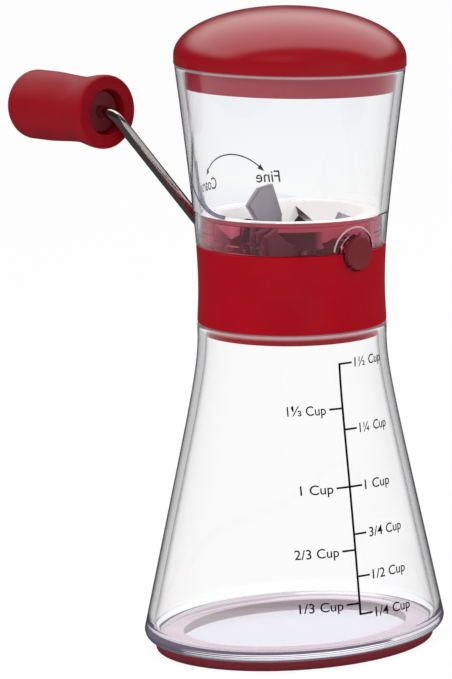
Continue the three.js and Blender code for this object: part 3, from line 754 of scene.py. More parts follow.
def plain(source, name):
    """The evaluated shape of an object as a new plain mesh object. The old object goes."""
    graph = bpy.context.evaluated_depsgraph_get()
    mesh = bpy.data.meshes.new_from_object(source.evaluated_get(graph))
    mesh.name = name
    bpy.data.objects.remove(source)
    made = link(bpy.data.objects.new(name, mesh))
    if not mesh.polygons:
        raise RuntimeError(f"{name} came out empty")
    return made


def faced_outwards(piece):
    """Turns a closed piece right side out."""
    work = bmesh.new()
    work.from_mesh(piece.data)
    if work.calc_volume(signed=True) < 0:
        bmesh.ops.reverse_faces(work, faces=work.faces)
    work.to_mesh(piece.data)
    work.free()
    return piece


def creased(piece, degrees=34):
    """Smooth shading that breaks at sharp corners."""
    piece.data.shade_smooth()
    piece.data.set_sharp_from_angle(angle=math.radians(degrees))
    return piece


def oval_loft():
    """Closed rings around an axis. A point of the chain holds a ring's half length, half depth and height."""
    tree = Recipe("oval_loft", {"Steps Around": "Int", "Centre": "Vector", "Tilt": "Float", "Turn": "Float"})
    rings = tree.given("Geometry")
    steps = tree.given("Steps Around")
    count = tree.node("GeometryNodeAttributeDomainSize", None, {"Geometry": rings}, "Point Count")
    values = {"Vertices X": steps + 1, "Vertices Y": count}
    sheet = tree.node("GeometryNodeMeshGrid", None, values, "Mesh")
    number = tree.node("GeometryNodeInputIndex")
    step = (number / count).floor()
    ring = number - step * count
    place = tree.node("GeometryNodeInputPosition")
    values = {"Geometry": rings, "Value": place, "Index": ring}
    sampled = tree.node("GeometryNodeSampleIndex", {"data_type": "FLOAT_VECTOR"}, values)
    size = tree.node("ShaderNodeSeparateXYZ", None, {"Vector": sampled})
    angle = step / steps * (2 * math.pi)
    values = {"X": size * angle.cosine(), "Y": size.output("Y") * angle.sine(), "Z": size.output("Z")}
    on_ring = tree.node("ShaderNodeCombineXYZ", None, values)
    placed = tree.node("GeometryNodeSetPosition", None, {"Geometry": sheet, "Position": on_ring})
    merged = tree.node("GeometryNodeMergeByDistance", None, {"Geometry": placed, "Distance": WELD})
    turn = tree.node("ShaderNodeCombineXYZ", None, {"X": tree.given("Tilt"), "Z": tree.given("Turn")})
    values = {"Geometry": merged, "Rotation": turn, "Translation": tree.given("Centre")}
    return tree.close(tree.node("GeometryNodeTransform", None, values))


def rod_sweep():
    """A round bar along a chain of points."""
    tree = Recipe("rod_sweep", {"Radius": "Float", "Steps Around": "Int"})
    path = tree.node("GeometryNodeMeshToCurve", None, {"Mesh": tree.given("Geometry")})
    values = {"Radius": tree.given("Radius"), "Resolution": tree.given("Steps Around")}
    section = tree.node("GeometryNodeCurvePrimitiveCircle", {"mode": "RADIUS"}, values)
    values = {"Curve": path, "Profile Curve": section, "Fill Caps": True}
    return tree.close(tree.node("GeometryNodeCurveToMesh", None, values))


RECIPES = {}


def recipe(maker):
    """The geometry tree of that maker, made the first time it is asked for."""
    if maker.__name__ not in RECIPES:
        RECIPES[maker.__name__] = maker()
    return RECIPES[maker.__name__]


def oval_piece(name, rings, material, centre=None, tilt=0.0, turn=0.0):
    values = {
        "Steps Around": bpy.context.scene.chopper_looks.around,
        "Centre": centre or (0.0, AXIS_Y, 0.0),
        "Tilt": tilt,
        "Turn": turn,
    }
    return creased(faced_outwards(recipe(oval_loft).apply(name, rings, values, finish(material))))


def rounded(corners, steps=5, closed=False):
    """A chain of ring sizes with its corners rounded. Each corner is its point and its rounding."""
    chain = []
    count = len(corners)
    for number, (corner, rounding) in enumerate(corners):
        here = Vector(corner)
        at_end = not closed and number in (0, count - 1)
        if not rounding or at_end:
            chain.append(here)
            continue
        before = Vector(corners[number - 1][0])
        after = Vector(corners[(number + 1) % count][0])
        start = here + (before - here) * min(0.5, rounding / (before - here).length)
        end = here + (after - here) * min(0.5, rounding / (after - here).length)
        for step in range(steps + 1):
            t = step / steps
            chain.append(start * (1 - t) ** 2 + here * 2 * t * (1 - t) + end * t**2)
    if closed:
        chain.append(chain[0].copy())
    return chain


def between(first, last, steps):
    return [first + (last - first) * step / steps for step in range(steps + 1)]


def round_ring(radius, height):
    return (radius, radius, height)


def kept(work, name):
    """The shape of a mesh in the making as a new object."""
    mesh = bpy.data.meshes.new(name)
    work.to_mesh(mesh)
    work.free()
    return link(bpy.data.objects.new(name, mesh))


def solid_rod(name, radius, span, centre, axis, steps=96):
    """A closed rod whose length lies along X or Y, used to cut or to build up a piece."""
    work = bmesh.new()
    bmesh.ops.create_cone(work, cap_ends=True, segments=steps, radius1=radius, radius2=radius, depth=span)
    turn = Matrix.Rotation(QUARTER, 4, "Y" if axis == "X" else "X")
    work.transform(Matrix.Translation(centre) @ turn)
    return kept(work, name)


def shaft_rod(name, radius, start, end):
    """A closed rod on the shaft's line."""
    return solid_rod(name, radius, abs(end - start), (0, (start + end) / 2, SHAFT_Z), "Y")


def combined(piece, other, operation):
    """Cuts another object from a piece, or joins it on. The other object goes."""
    name = piece.name
    material = piece.data.materials[0]
    modifier = piece.modifiers.new("combine", "BOOLEAN")
    modifier.operation = operation
    modifier.solver = "EXACT"
    modifier.object = other
    made = plain(piece, name + "_made")
    made.name = name
    made.data.materials.clear()
    made.data.materials.append(material)
    bpy.data.objects.remove(other)
    return creased(made)


def block(name, size, *moves):
    """A cube that each matrix moves or turns in its order, used to cut a piece."""
    work = bmesh.new()
    bmesh.ops.create_cube(work, size=size)
    for move in moves:
        work.transform(move)
    return kept(work, name)


def bored(piece, name, radius, reach):
    """Cuts a round way along the shaft's line, which reaches so far to both sides of the axis."""
    return combined(piece, shaft_rod(name, radius, AXIS_Y - reach, AXIS_Y + reach), "DIFFERENCE")


def placed(piece, body, slot, *nodes):
    """Hands a finished piece over: its body and the solids it stands for. The material slot it belongs to is
    not used.
    """
    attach(piece, body)
    if nodes:
        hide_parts(*nodes)
    return piece


def dressed(material, *nodes):
    """Gives solids that stay as they are their finish."""
    for node in nodes:
        mesh = NODES[node].data
        mesh.materials.clear()
        mesh.materials.append(finish(material))


def flask_half_length(height):
    sizes = bpy.context.scene.chopper_flask
    radius = bpy.context.scene.chopper_waist.radius
    straight_end = high("container").z - sizes.neck_straight
    ease = sizes.flare_ease
    flare = math.hypot(max(0, straight_end - height), ease) - ease
    full = math.hypot(straight_end - sizes.rim_height, ease) - ease
    return radius + (sizes.rim_half_length - radius) * flare / full


def flask_half_depth(height):
    sizes = bpy.context.scene.chopper_flask
    top = high("container").z
    fall = min(1, (top - height) / (top - sizes.rim_height))
    return flask_half_length(height) * (1 - (1 - sizes.rim_half_depth / sizes.rim_half_length) * fall)


def flask_ring(height, inset):
    return (flask_half_length(height) - inset, flask_half_depth(height) - inset, height)


class CHOPPER_OT_flask(Operator):
    """Make the clear flask"""

    bl_idname = "chopper.make_flask"
    bl_label = "Flask"

    def execute(self, context):
        sizes = context.scene.chopper_flask
        base, top = low("container").z, high("container").z
        floor = base + sizes.floor
        fillet_top = floor + sizes.fillet
        half_x, half_y = sizes.rim_half_length, sizes.rim_half_depth
        corners = [((0, 0, base), 0), ((half_x - sizes.base_inset, half_y - sizes.base_inset, base), EASED)]
        for angle in between(0, QUARTER, 12)[1:-1]:
            inset = sizes.base_inset * (1 - math.sin(angle))
            height = base + (sizes.rim_height - base) * (1 - math.cos(angle))
            corners.append(((half_x - inset, half_y - inset, height), 0))
        corners += [(flask_ring(height, 0), 0) for height in between(sizes.rim_height, top, 40)[:-1]]
        corners.append((flask_ring(top, 0), sizes.lip_round))
        corners.append((flask_ring(top, sizes.wall), sizes.lip_round))
        corners += [(flask_ring(height, sizes.wall), 0) for height in between(top, fillet_top, 40)[1:]]
        foot_x, foot_y, _ = flask_ring(fillet_top, sizes.wall + sizes.fillet)
        for angle in between(0, QUARTER, 12)[1:]:
            out = sizes.fillet * math.cos(angle)
            height = fillet_top - sizes.fillet * math.sin(angle)
            corners.append(((foot_x + out, foot_y + out, height), 0))
        corners.append(((0, 0, floor), 0))
        flask = oval_piece("clear_flask", rounded(corners), "clear_plastic", turn=sizes.turn)
        placed(flask, "flask", "clear_plastic", "container")
        return {"FINISHED"}


class CHOPPER_OT_foot(Operator):
    """Make the dark red foot"""

    bl_idname = "chopper.make_foot"
    bl_label = "Foot"

    def execute(self, context):
        sizes = context.scene.chopper_flask
        bottom, top = low("foot_ring").z, high("foot_ring").z

        def ring(height, inset):
            return (sizes.rim_half_length - inset, sizes.rim_half_depth - inset, height)

        corners = [
            (ring(bottom, sizes.foot_inset), BLUNT),
            (ring((bottom + top) / 2, sizes.foot_inset - sizes.foot_bulge), sizes.foot_side_round),
            (ring(top, sizes.foot_inset), SOFT),
            (ring(top, sizes.foot_inset + sizes.foot_width), SOFT),
            (ring(bottom, sizes.foot_inset + sizes.foot_width), sizes.foot_tread_round),
        ]
        foot = oval_piece("rubber_foot", rounded(corners, closed=True), "foot_rubber", turn=sizes.turn)
        placed(foot, "flask", "foot_rubber", "foot_ring")
        return {"FINISHED"}


class CHOPPER_OT_waist(Operator):
    """Make the red waist with its spigot and its two notches"""

    bl_idname = "chopper.make_waist"
    bl_label = "Waist"

    def execute(self, context):
        sizes = context.scene.chopper_waist
        top = high("body_band").z
        spigot_foot = low("body_band").z
        bottom = spigot_foot + sizes.spigot_depth
        bore = sizes.radius - sizes.wall
        spigot = sizes.radius - context.scene.chopper_flask.wall - sizes.spigot_clearance
        inner = spigot - sizes.spigot_wall
        corners = [
            (round_ring(inner, spigot_foot), SOFT),
            (round_ring(spigot, spigot_foot), SOFT),
            (round_ring(spigot, bottom), 0),
            (round_ring(sizes.radius, bottom), sizes.edge_round),
        ]
        for height in between(bottom + sizes.draw_margin, top - sizes.draw_margin, 12):
            bulge = math.sin(math.pi * (height - bottom) / (top - bottom))
            corners.append((round_ring(sizes.radius - sizes.draw_in * bulge, height), 0))
        corners += [
            (round_ring(sizes.radius, top), sizes.edge_round),
            (round_ring(bore, top), SOFT),
            (round_ring(bore, bottom + sizes.ledge), 0),
            (round_ring(inner, bottom + sizes.ledge), 0),
        ]
        waist = oval_piece("red_waist", rounded(corners, closed=True), "red_plastic")
        waist = bored(waist, "waist_notch", sizes.notch_radius, sizes.radius * OVERCUT)
        placed(waist, "waist", "red_plastic", "body_band")
        return {"FINISHED"}


class CHOPPER_OT_chamber(Operator):
    """Make the tinted chamber with its collar, bearing bosses and moulded ring"""

    bl_idname = "chopper.make_chamber"
    bl_label = "Chamber"

    def execute(self, context):
        sizes = context.scene.chopper_waist
        bottom, top = low("chamber_liner").z, high("chamber_liner").z
        outer = sizes.radius - sizes.wall - SEAT
        bore = outer - sizes.chamber_wall
        collar = sizes.collar_radius
        shoulder = high("body_band").z + SEAT
        bead_foot = high("body_band").z + sizes.bead_rise
        bead_start = bead_foot + sizes.bead_height * sizes.bead_flat_start
        bead_end = bead_foot + sizes.bead_height * sizes.bead_flat_end
        rebate_floor = top - sizes.rebate_depth
        ledge_top = low("comb_fine").z - SEAT
        ledge_foot = ledge_top - sizes.comb_ledge_side
        corners = [
            (round_ring(outer, bottom), EASED),
            (round_ring(outer, shoulder), KEEN),
            (round_ring(collar, shoulder), EASED),
            (round_ring(collar, bead_foot), KEEN),
            (round_ring(collar + sizes.bead, bead_start), CRISP),
            (round_ring(collar + sizes.bead, bead_end), CRISP),
            (round_ring(collar, bead_foot + sizes.bead_height), KEEN),
            (round_ring(collar, top), SOFT),
            (round_ring(sizes.rebate_radius, top), CRISP),
            (round_ring(sizes.rebate_radius, rebate_floor), 0),
            (round_ring(bore, rebate_floor), CRISP),
            (round_ring(bore, ledge_top), 0),
            (round_ring(bore - sizes.comb_ledge, ledge_top), 0),
            (round_ring(bore - sizes.comb_ledge, ledge_foot), 0),
            (round_ring(bore, ledge_foot - sizes.comb_ledge), 0),
            (round_ring(bore, bottom), EASED),
        ]
        chamber = oval_piece("tinted_chamber", rounded(corners, closed=True), "chamber_plastic")
        for side in (-1, 1):
            start = AXIS_Y + side * sizes.boss_inner
            end = AXIS_Y + side * (outer - sizes.chamber_wall / 2)
            boss = shaft_rod("boss", sizes.boss_radius, start, end)
            chamber = combined(chamber, boss, "UNION")
        chamber = bored(chamber, "shaft_way", sizes.boss_bore, outer * OVERCUT)
        placed(chamber, "grinding_unit", "tinted_plastic", "chamber_liner")
        placed(self.boss_ring(sizes, shoulder), "grinding_unit", "tinted_plastic")
        dressed("blade_steel", "comb_fine", "comb_coarse")
        dressed("nylon", "front_bush", "rear_bush")
        return {"FINISHED"}

    def boss_ring(self, sizes, shoulder):
        """A thin moulded arch on the collar, around the end cap, whose pale colour is a painted highlight."""
        foot = math.asin((shoulder + sizes.ring_thickness * 2 - SHAFT_Z) / sizes.ring_radius)
        path = []
        for angle in between(foot, math.pi - foot, 40):
            x = sizes.ring_radius * math.cos(angle)
            y = AXIS_Y - math.sqrt(sizes.collar_radius**2 - x * x)
            path.append((x, y, SHAFT_Z + sizes.ring_radius * math.sin(angle)))
        values = {"Radius": sizes.ring_thickness, "Steps Around": 16}
        ring = recipe(rod_sweep).apply("boss_ring", path, values, finish("edge_plastic"))
        return creased(faced_outwards(ring), 60)


class CHOPPER_OT_funnel(Operator):
    """Make the white feed funnel and the sleeve behind the rotor"""

    bl_idname = "chopper.make_funnel"
    bl_label = "Feed funnel"

    def execute(self, context):
        sizes = context.scene.chopper_funnel
        rim = high("chamber_liner").z + sizes.lip_gap
        lip_top = rim + sizes.lip_thickness
        top = high("feed_funnel").z
        foot = top - sizes.depth
        flange_foot = top - sizes.flange_thickness
        barrel_foot = flange_foot - sizes.wall
        corners = [
            (round_ring(sizes.mouth_radius, foot), EASED),
            (round_ring(sizes.land_radius, lip_top), sizes.land_round),
            (round_ring(sizes.lip_radius, lip_top), KEEN),
            (round_ring(sizes.lip_radius, rim), 0),
            (round_ring(sizes.flange_radius, rim), 0),
            (round_ring(sizes.flange_radius, flange_foot), 0),
            (round_ring(sizes.barrel_radius, flange_foot), 0),
            (round_ring(sizes.barrel_radius, barrel_foot), CRISP),
            (round_ring(sizes.mouth_radius, foot - sizes.wall), EASED),
        ]
        funnel = oval_piece("white_funnel", rounded(corners, closed=True), "white_plastic")
        half = sizes.sweep_half_length
        reach = sizes.lip_radius * OVERCUT
        boss_room = context.scene.chopper_waist.boss_radius + SEAT
        funnel = bored(funnel, "sweep", sizes.sweep_radius, half)
        funnel = bored(funnel, "boss_room", boss_room, reach)
        beside = Matrix.Translation((-2 * half, AXIS_Y, flange_foot - half))
        window = block("window", 2 * half, Matrix.Diagonal((2, 1, 1, 1)), beside)
        funnel = combined(funnel, window, "DIFFERENCE")
        placed(funnel, "grinding_unit", "white_plastic", "feed_funnel")
        placed(self.sleeve(sizes, barrel_foot, boss_room, reach), "grinding_unit", "white_plastic")
        return {"FINISHED"}

    def sleeve(self, sizes, top, boss_room, reach):
        """A thin white sleeve in the half of the chamber's bore that faces the fine comb, which carries
        painted shade behind the rotor's blades.
        """
        inner = sizes.barrel_radius - sizes.sleeve_wall
        foot = top - sizes.sleeve_depth + sizes.wall
        corners = [
            (round_ring(sizes.barrel_radius, top), 0),
            (round_ring(sizes.barrel_radius, foot), CRISP),
            (round_ring(inner, foot), CRISP),
            (round_ring(inner, top), 0),
        ]
        sleeve = oval_piece("funnel_sleeve", rounded(corners, closed=True), "sleeve_plastic")
        sleeve = bored(sleeve, "boss_room", boss_room, reach)
        turned = Matrix.Translation((0, AXIS_Y, top)) @ Matrix.Rotation(sizes.sleeve_turn, 4, "Z")
        front_half = block("front_half", 2 * reach, Matrix.Translation((-reach, 0, 0)), turned)
        return combined(sleeve, front_half, "DIFFERENCE")


def hopper_ring(height, inset):
    sizes = bpy.context.scene.chopper_hopper
    radius = bpy.context.scene.chopper_waist.radius
    bottom, top = low("hopper").z, high("hopper").z
    rise = max(0, (height - bottom) / (top - bottom))
    half_width = radius + sizes.flare_width * rise**sizes.width_power
    half_length = radius + sizes.flare_length * rise**sizes.length_power
    return (half_width - inset, half_length - inset, height)


class CHOPPER_OT_hopper(Operator):
    """Make the clear hopper and its ramp"""

    bl_idname = "chopper.make_hopper"
    bl_label = "Hopper"

    def execute(self, context):
        sizes = context.scene.chopper_hopper
        bottom, top = low("hopper").z, high("hopper").z
        skirt_top = high("chamber_liner").z + SEAT
        corners = [(hopper_ring(bottom, 0), EASED)]
        corners += [(hopper_ring(height, 0), 0) for height in between(bottom, top, 40)[1:-1]]
        corners += [(hopper_ring(top, 0), sizes.lip_round), (hopper_ring(top, sizes.wall), sizes.lip_round)]
        corners += [(hopper_ring(height, sizes.wall), 0) for height in between(top, skirt_top, 34)[1:]]
        corners.append((hopper_ring(skirt_top, sizes.skirt_wall), 0))
        corners.append((hopper_ring(bottom, sizes.skirt_wall), CRISP))
        hopper = oval_piece("clear_hopper", rounded(corners, closed=True), "clear_plastic")
        reach = (high("hopper").y - low("hopper").y) / 2 * OVERCUT
        hopper = bored(hopper, "hopper_notch", sizes.notch_radius, reach)
        placed(hopper, "hopper_unit", "clear_plastic", "hopper")
        placed(self.ramp(sizes, skirt_top), "hopper_unit", "clear_plastic")
        placed(self.rail(sizes, skirt_top), "hopper_unit", "clear_plastic")
        return {"FINISHED"}

    def rail(self, sizes, skirt_top):
        """A thin rail on the wall that rises along the ramp's side, whose grey is painted shade for the
        shaded line where the ramp meets the wall.
        """
        path = []
        inset = sizes.wall + sizes.rail_thickness * sizes.rail_stand
        for angle in between(0, sizes.rail_sweep, 40):
            along = sizes.rail_radius * math.sin(angle)
            height = skirt_top + sizes.rail_thickness + sizes.rail_radius * (1 - math.cos(angle))
            half_x, half_y, _ = hopper_ring(height, inset)
            path.append((-half_x * math.sqrt(1 - (along / half_y) ** 2), AXIS_Y + along, height))
        values = {"Radius": sizes.rail_thickness, "Steps Around": 20}
        rail = recipe(rod_sweep).apply("ramp_rail", path, values, finish("rail_plastic"))
        return creased(faced_outwards(rail), 60)

    def ramp(self, sizes, skirt_top):
        """A thin clear sheet that sweeps up from over the funnel to the hopper's back wall."""
        under_radius = sizes.ramp_radius + sizes.ramp_thickness
        over_radius = sizes.ramp_radius - sizes.ramp_thickness
        start_y = AXIS_Y + sizes.ramp_start
        top = skirt_top + under_radius
        inset = sizes.wall - sizes.ramp_overlap
        rings = [(hopper_ring(height, inset), 0) for height in between(skirt_top, top, 12)]
        corners = [((0, 0, skirt_top), 0), *rings, ((0, 0, top), 0)]
        ramp = oval_piece("clear_ramp", rounded(corners), "ramp_plastic")
        span = 4 * sizes.ramp_radius
        under = solid_rod("underside", under_radius, span, (0, start_y, top), "X", FINE_STEPS)
        ramp = combined(ramp, under, "INTERSECT")
        over_place = (0, start_y, skirt_top + over_radius)
        over = solid_rod("topside", over_radius, span, over_place, "X", FINE_STEPS)
        ramp = combined(ramp, over, "DIFFERENCE")
        front = block("front", span, Matrix.Translation((0, start_y - span / 2, top)))
        return combined(ramp, front, "DIFFERENCE")


class CHOPPER_OT_lid(Operator):
    """Make the red domed lid with its skirt"""

    bl_idname = "chopper.make_lid"
    bl_label = "Lid"

    def execute(self, context):
        sizes = context.scene.chopper_lid
        hopper_top = high("hopper").z
        skirt_foot, apex = low("lid").z, high("lid").z
        side_top = apex - sizes.dome
        bottom = side_top - sizes.side
        mouth_x, mouth_y, _ = hopper_ring(hopper_top, 0)
        half_x, half_y = mouth_x + sizes.overhang, mouth_y + sizes.overhang
        skirt_inset = context.scene.chopper_hopper.wall + sizes.skirt_clearance
        bore_inset = skirt_inset + sizes.skirt_wall

        def dome(inset, rise, steps):
            rings = []
            for angle in between(0, QUARTER, steps)[:-1]:
                along = math.cos(angle)
                height = side_top + rise * math.sin(angle)
                rings.append((((half_x - inset) * along, (half_y - inset) * along, height), 0))
            return rings

        corners = [((0, 0, apex), 0)]
        corners += reversed(dome(0, sizes.dome, 40))
        corners += [
            ((half_x, half_y, bottom), sizes.edge_round),
            (hopper_ring(bottom, skirt_inset), EASED),
            (hopper_ring(skirt_foot, skirt_inset), BLUNT),
            (hopper_ring(skirt_foot, bore_inset), BLUNT),
            (hopper_ring(bottom, bore_inset), 0),
        ]
        corners += dome(bore_inset, sizes.dome - sizes.wall, 30)
        corners.append(((0, 0, apex - sizes.wall), 0))
        lid = oval_piece("red_lid", rounded(corners), "lid_plastic")
        placed(lid, "lid_unit", "red_plastic", "lid")
        return {"FINISHED"}


class CHOPPER_OT_rod(Operator):
    """Make the bent steel rod, and dress its collar and its washer"""

    bl_idname = "chopper.make_rod"
    bl_label = "Rod"

    def execute(self, context):
        sizes = context.scene.chopper_crank
        start, end = low("crank_rod"), high("crank_rod")
        radius = sizes.rod_radius
        arm_x, arm_z = start.x + radius, end.z - radius
        stand = AXIS_Y + sizes.stand
        corners = [
            (Vector((0, start.y, SHAFT_Z)), 0),
            (Vector((0, stand, SHAFT_Z)), sizes.bend),
            (Vector((arm_x, stand + sizes.splay, arm_z)), sizes.bend),
            (Vector((arm_x, end.y, arm_z)), 0),
        ]
        values = {"Radius": radius, "Steps Around": 40}
        path = rounded(corners, steps=14)
        rod = recipe(rod_sweep).apply("steel_rod", path, values, finish("rod_steel"))
        creased(faced_outwards(rod))
        placed(rod, "crank", "rod_steel", "crank_rod")
        dressed("rod_steel", "shaft_collar", "grip_washer")
        return {"FINISHED"}


class CHOPPER_OT_cap(Operator):
    """Make the round cap on the shaft's front end"""

    bl_idname = "chopper.make_cap"
    bl_label = "End cap"

    def execute(self, context):
        sizes = context.scene.chopper_crank
        face, back = low("shaft_cap").y, high("shaft_cap").y
        disc_back = face + sizes.cap_disc
        bore = sizes.rod_radius + sizes.cap_clearance
        dish_radius = sizes.cap_radius * sizes.cap_dish_radius
        corners = [
            (round_ring(0, -face - sizes.cap_dish), 0),
            (round_ring(dish_radius, -face - sizes.cap_dish), sizes.cap_dish_round),
            (round_ring(sizes.cap_radius - sizes.cap_rim, -face), BLUNT),
            (round_ring(sizes.cap_radius, -face), BLUNT),
            (round_ring(sizes.cap_radius, -disc_back), EASED),
            (round_ring(sizes.cap_stem, -disc_back), CRISP),
            (round_ring(sizes.cap_stem, -back), CRISP),
            (round_ring(bore, -back), 0),
            (round_ring(bore, -face - sizes.cap_face), 0),
            (round_ring(0, -face - sizes.cap_face), 0),
        ]
        on_shaft = {"centre": (0.0, 0.0, SHAFT_Z), "tilt": QUARTER}
        cap = oval_piece("end_cap", rounded(corners), "cap_plastic", **on_shaft)
        placed(cap, "crank", "dark_red_plastic", "shaft_cap")
        return {"FINISHED"}


class CHOPPER_OT_rotor(Operator):
    """Dress the rotor's blades, core and spacers"""

    bl_idname = "chopper.make_rotor"
    bl_label = "Rotor"

    BLADES = 5
    # How far along the shaft a flat side's normal points, and the angle up to which faces are one side.
    FLAT = 0.99
    ONE_SIDE = math.radians(1)

    def execute(self, context):
        sizes = context.scene.chopper_crank
        for number in range(1, self.BLADES + 1):
            placed(self.blade(number, sizes), "crank", "blade_steel", f"rotor_blade_{number}")
        dressed("nylon", "rotor_core", *[f"rotor_spacer_{number}" for number in range(1, self.BLADES)])
        return {"FINISHED"}

    def blade(self, number, sizes):
        """The solid's outline, with a ground border around each flat side."""
        work = bmesh.new()
        work.from_mesh(NODES[f"rotor_blade_{number}"].data)
        bmesh.ops.remove_doubles(work, verts=work.verts, dist=WELD)
        bmesh.ops.dissolve_limit(work, angle_limit=self.ONE_SIDE, verts=work.verts, edges=work.edges)
        flat = [face for face in work.faces if abs(face.normal.y) > self.FLAT]
        if not flat:
            raise RuntimeError("a blade has no flat side")
        bmesh.ops.inset_region(
            work, faces=flat, thickness=sizes.blade_border, depth=-sizes.blade_relief, use_even_offset=True
        )
        # Marks the flat faces, which the blade steel paints lighter, as lit facets.
        ground = work.loops.layers.float_color.new("ground")
        for face in flat:
            for corner in face.loops:
                corner[ground] = (1, 1, 1, 1)
        bmesh.ops.triangulate(work, faces=work.faces)
        made = kept(work, f"blade_{number}")
        made.data.materials.clear()
        made.data.materials.append(finish("blade_steel"))
        return creased(made, 20)


class CHOPPER_OT_grip(Operator):
    """Make the red spool grip, and dress its sleeve and plug"""

    bl_idname = "chopper.make_grip"
    bl_label = "Grip"

    def execute(self, context):
        sizes = context.scene.chopper_crank
        face, back = low("grip").y, high("grip").y
        centre = middle("grip_washer")
        span = back - face
        waist_at, belly_at = sizes.grip_waist_at * span, sizes.grip_belly_at * span

        def eased(value, start, end):
            t = min(1, max(0, (value - start) / (end - start)))
            return t * t * (3 - 2 * t)

        def radius(along):
            drawn = eased(along, sizes.grip_round, waist_at)
            neck = sizes.grip_face + (sizes.grip_waist - sizes.grip_face) * drawn
            return neck + (sizes.grip_belly - neck) * eased(along, waist_at, belly_at)

        front_radius = sizes.grip_face - sizes.grip_round * 0.1
        side_start, side_end = sizes.grip_round * 1.3, span - sizes.grip_back_round
        back_radius = sizes.grip_belly - sizes.grip_back_round
        plug_seat = span - sizes.plug_thickness
        plug_room = sizes.plug_radius + SEAT
        corners = [(round_ring(front_radius, 0), sizes.grip_round)]
        corners += [(round_ring(radius(along), along), 0) for along in between(side_start, side_end, 36)]
        for angle in between(0, QUARTER, 12)[1:]:
            out = sizes.grip_back_round * math.cos(angle)
            along = side_end + sizes.grip_back_round * math.sin(angle)
            corners.append((round_ring(back_radius + out, along), 0))
        corners += [
            (round_ring(plug_room, span), CRISP),
            (round_ring(plug_room, plug_seat), 0),
            (round_ring(sizes.grip_bore, plug_seat), 0),
            (round_ring(sizes.grip_bore, sizes.grip_recess_depth), 0),
            (round_ring(sizes.grip_recess, sizes.grip_recess_depth), sizes.grip_recess_fillet),
            (round_ring(sizes.grip_recess, 0), sizes.grip_recess_round),
        ]
        on_pin = {"centre": (centre.x, face, centre.z), "tilt": -QUARTER}
        grip = oval_piece("spool_grip", rounded(corners, closed=True), "grip_plastic", **on_pin)
        placed(grip, "handle", "grip_plastic", "grip")
        dressed("cap_plastic", "grip_sleeve")
        dressed("grip_plastic", "grip_plug")
        return {"FINISHED"}


# Height of a capital letter as a share of the font's size.
CAPITAL = 0.7


def flat_word(text, cap_height, width):
    """A word as flat triangles, its lower left corner at the origin, drawn to a width."""
    curve = bpy.data.curves.new("word", "FONT")
    curve.body = text
    curve.size = cap_height / CAPITAL
    curve.resolution_u = 4
    curve.offset = bpy.context.scene.chopper_print.weight
    made = plain(link(bpy.data.objects.new("word", curve)), "word_flat")
    points = [vertex.co.copy() for vertex in made.data.vertices]
    faces = [tuple(face.vertices) for face in made.data.polygons]
    bpy.data.objects.remove(made)
    start = min(point.x for point in points)
    factor = width / (max(point.x for point in points) - start)
    return [((point.x - start) * factor, point.y) for point in points], faces


def unrolled(across, half_x, half_y):
    """The place and the normal of print so far across from the middle of an oval's side at negative Y."""
    bend = half_x * half_x / half_y
    x = bend * math.sin(across / bend)
    y = -half_y * math.sqrt(max(0, 1 - (x / half_x) ** 2))
    return Vector((x, y, 0)), Vector((x / half_x**2, y / half_y**2, 0)).normalized()


class Sheet:
    """Flat print that is laid on a wall afterwards."""

    def __init__(self):
        self.points = []
        self.faces = []

    def add(self, points, faces, place=(0, 0)):
        """Adds flat shapes at a place."""
        first = len(self.points)
        self.points += [(x + place[0], y + place[1]) for x, y in points]
        self.faces += [tuple(corner + first for corner in face) for face in faces]

    def bar(self, start, end, width, steps=8):
        """A straight bar between two places, in steps, so that it can follow a wall."""
        start, end = Vector(start), Vector(end)
        side = (end - start).normalized().orthogonal() * width / 2
        points = []
        for step in range(steps + 1):
            here = start.lerp(end, step / steps)
            points += [tuple(here - side), tuple(here + side)]
        self.add(points, self.strip(steps))

    @staticmethod
    def strip(steps):
        """The faces of a strip whose points come in pairs."""
        return [(2 * step, 2 * step + 2, 2 * step + 3, 2 * step + 1) for step in range(steps)]

    def laid(self, name, wall):
        """Lays the print on a wall, which gives a point for a place and a height over the wall."""
        sizes = bpy.context.scene.chopper_print
        work = bmesh.new()
        corners = [work.verts.new((x, y, 0)) for x, y in self.points]
        for face in self.faces:
            work.faces.new([corners[corner] for corner in face])
        work.normal_update()
        for face in work.faces:
            if face.normal.z < 0:
                face.normal_flip()
        top = bmesh.ops.extrude_face_region(work, geom=list(work.faces))
        raised = [item for item in top["geom"] if isinstance(item, bmesh.types.BMVert)]
        bmesh.ops.translate(work, verts=raised, vec=(0, 0, sizes.ink))
        for vertex in work.verts:
            vertex.co = wall(vertex.co.x, vertex.co.y, sizes.ink_lift + vertex.co.z)
        bmesh.ops.recalc_face_normals(work, faces=work.faces)
        made = kept(work, name)
        made.data.materials.append(finish("printed_ink"))
        return made


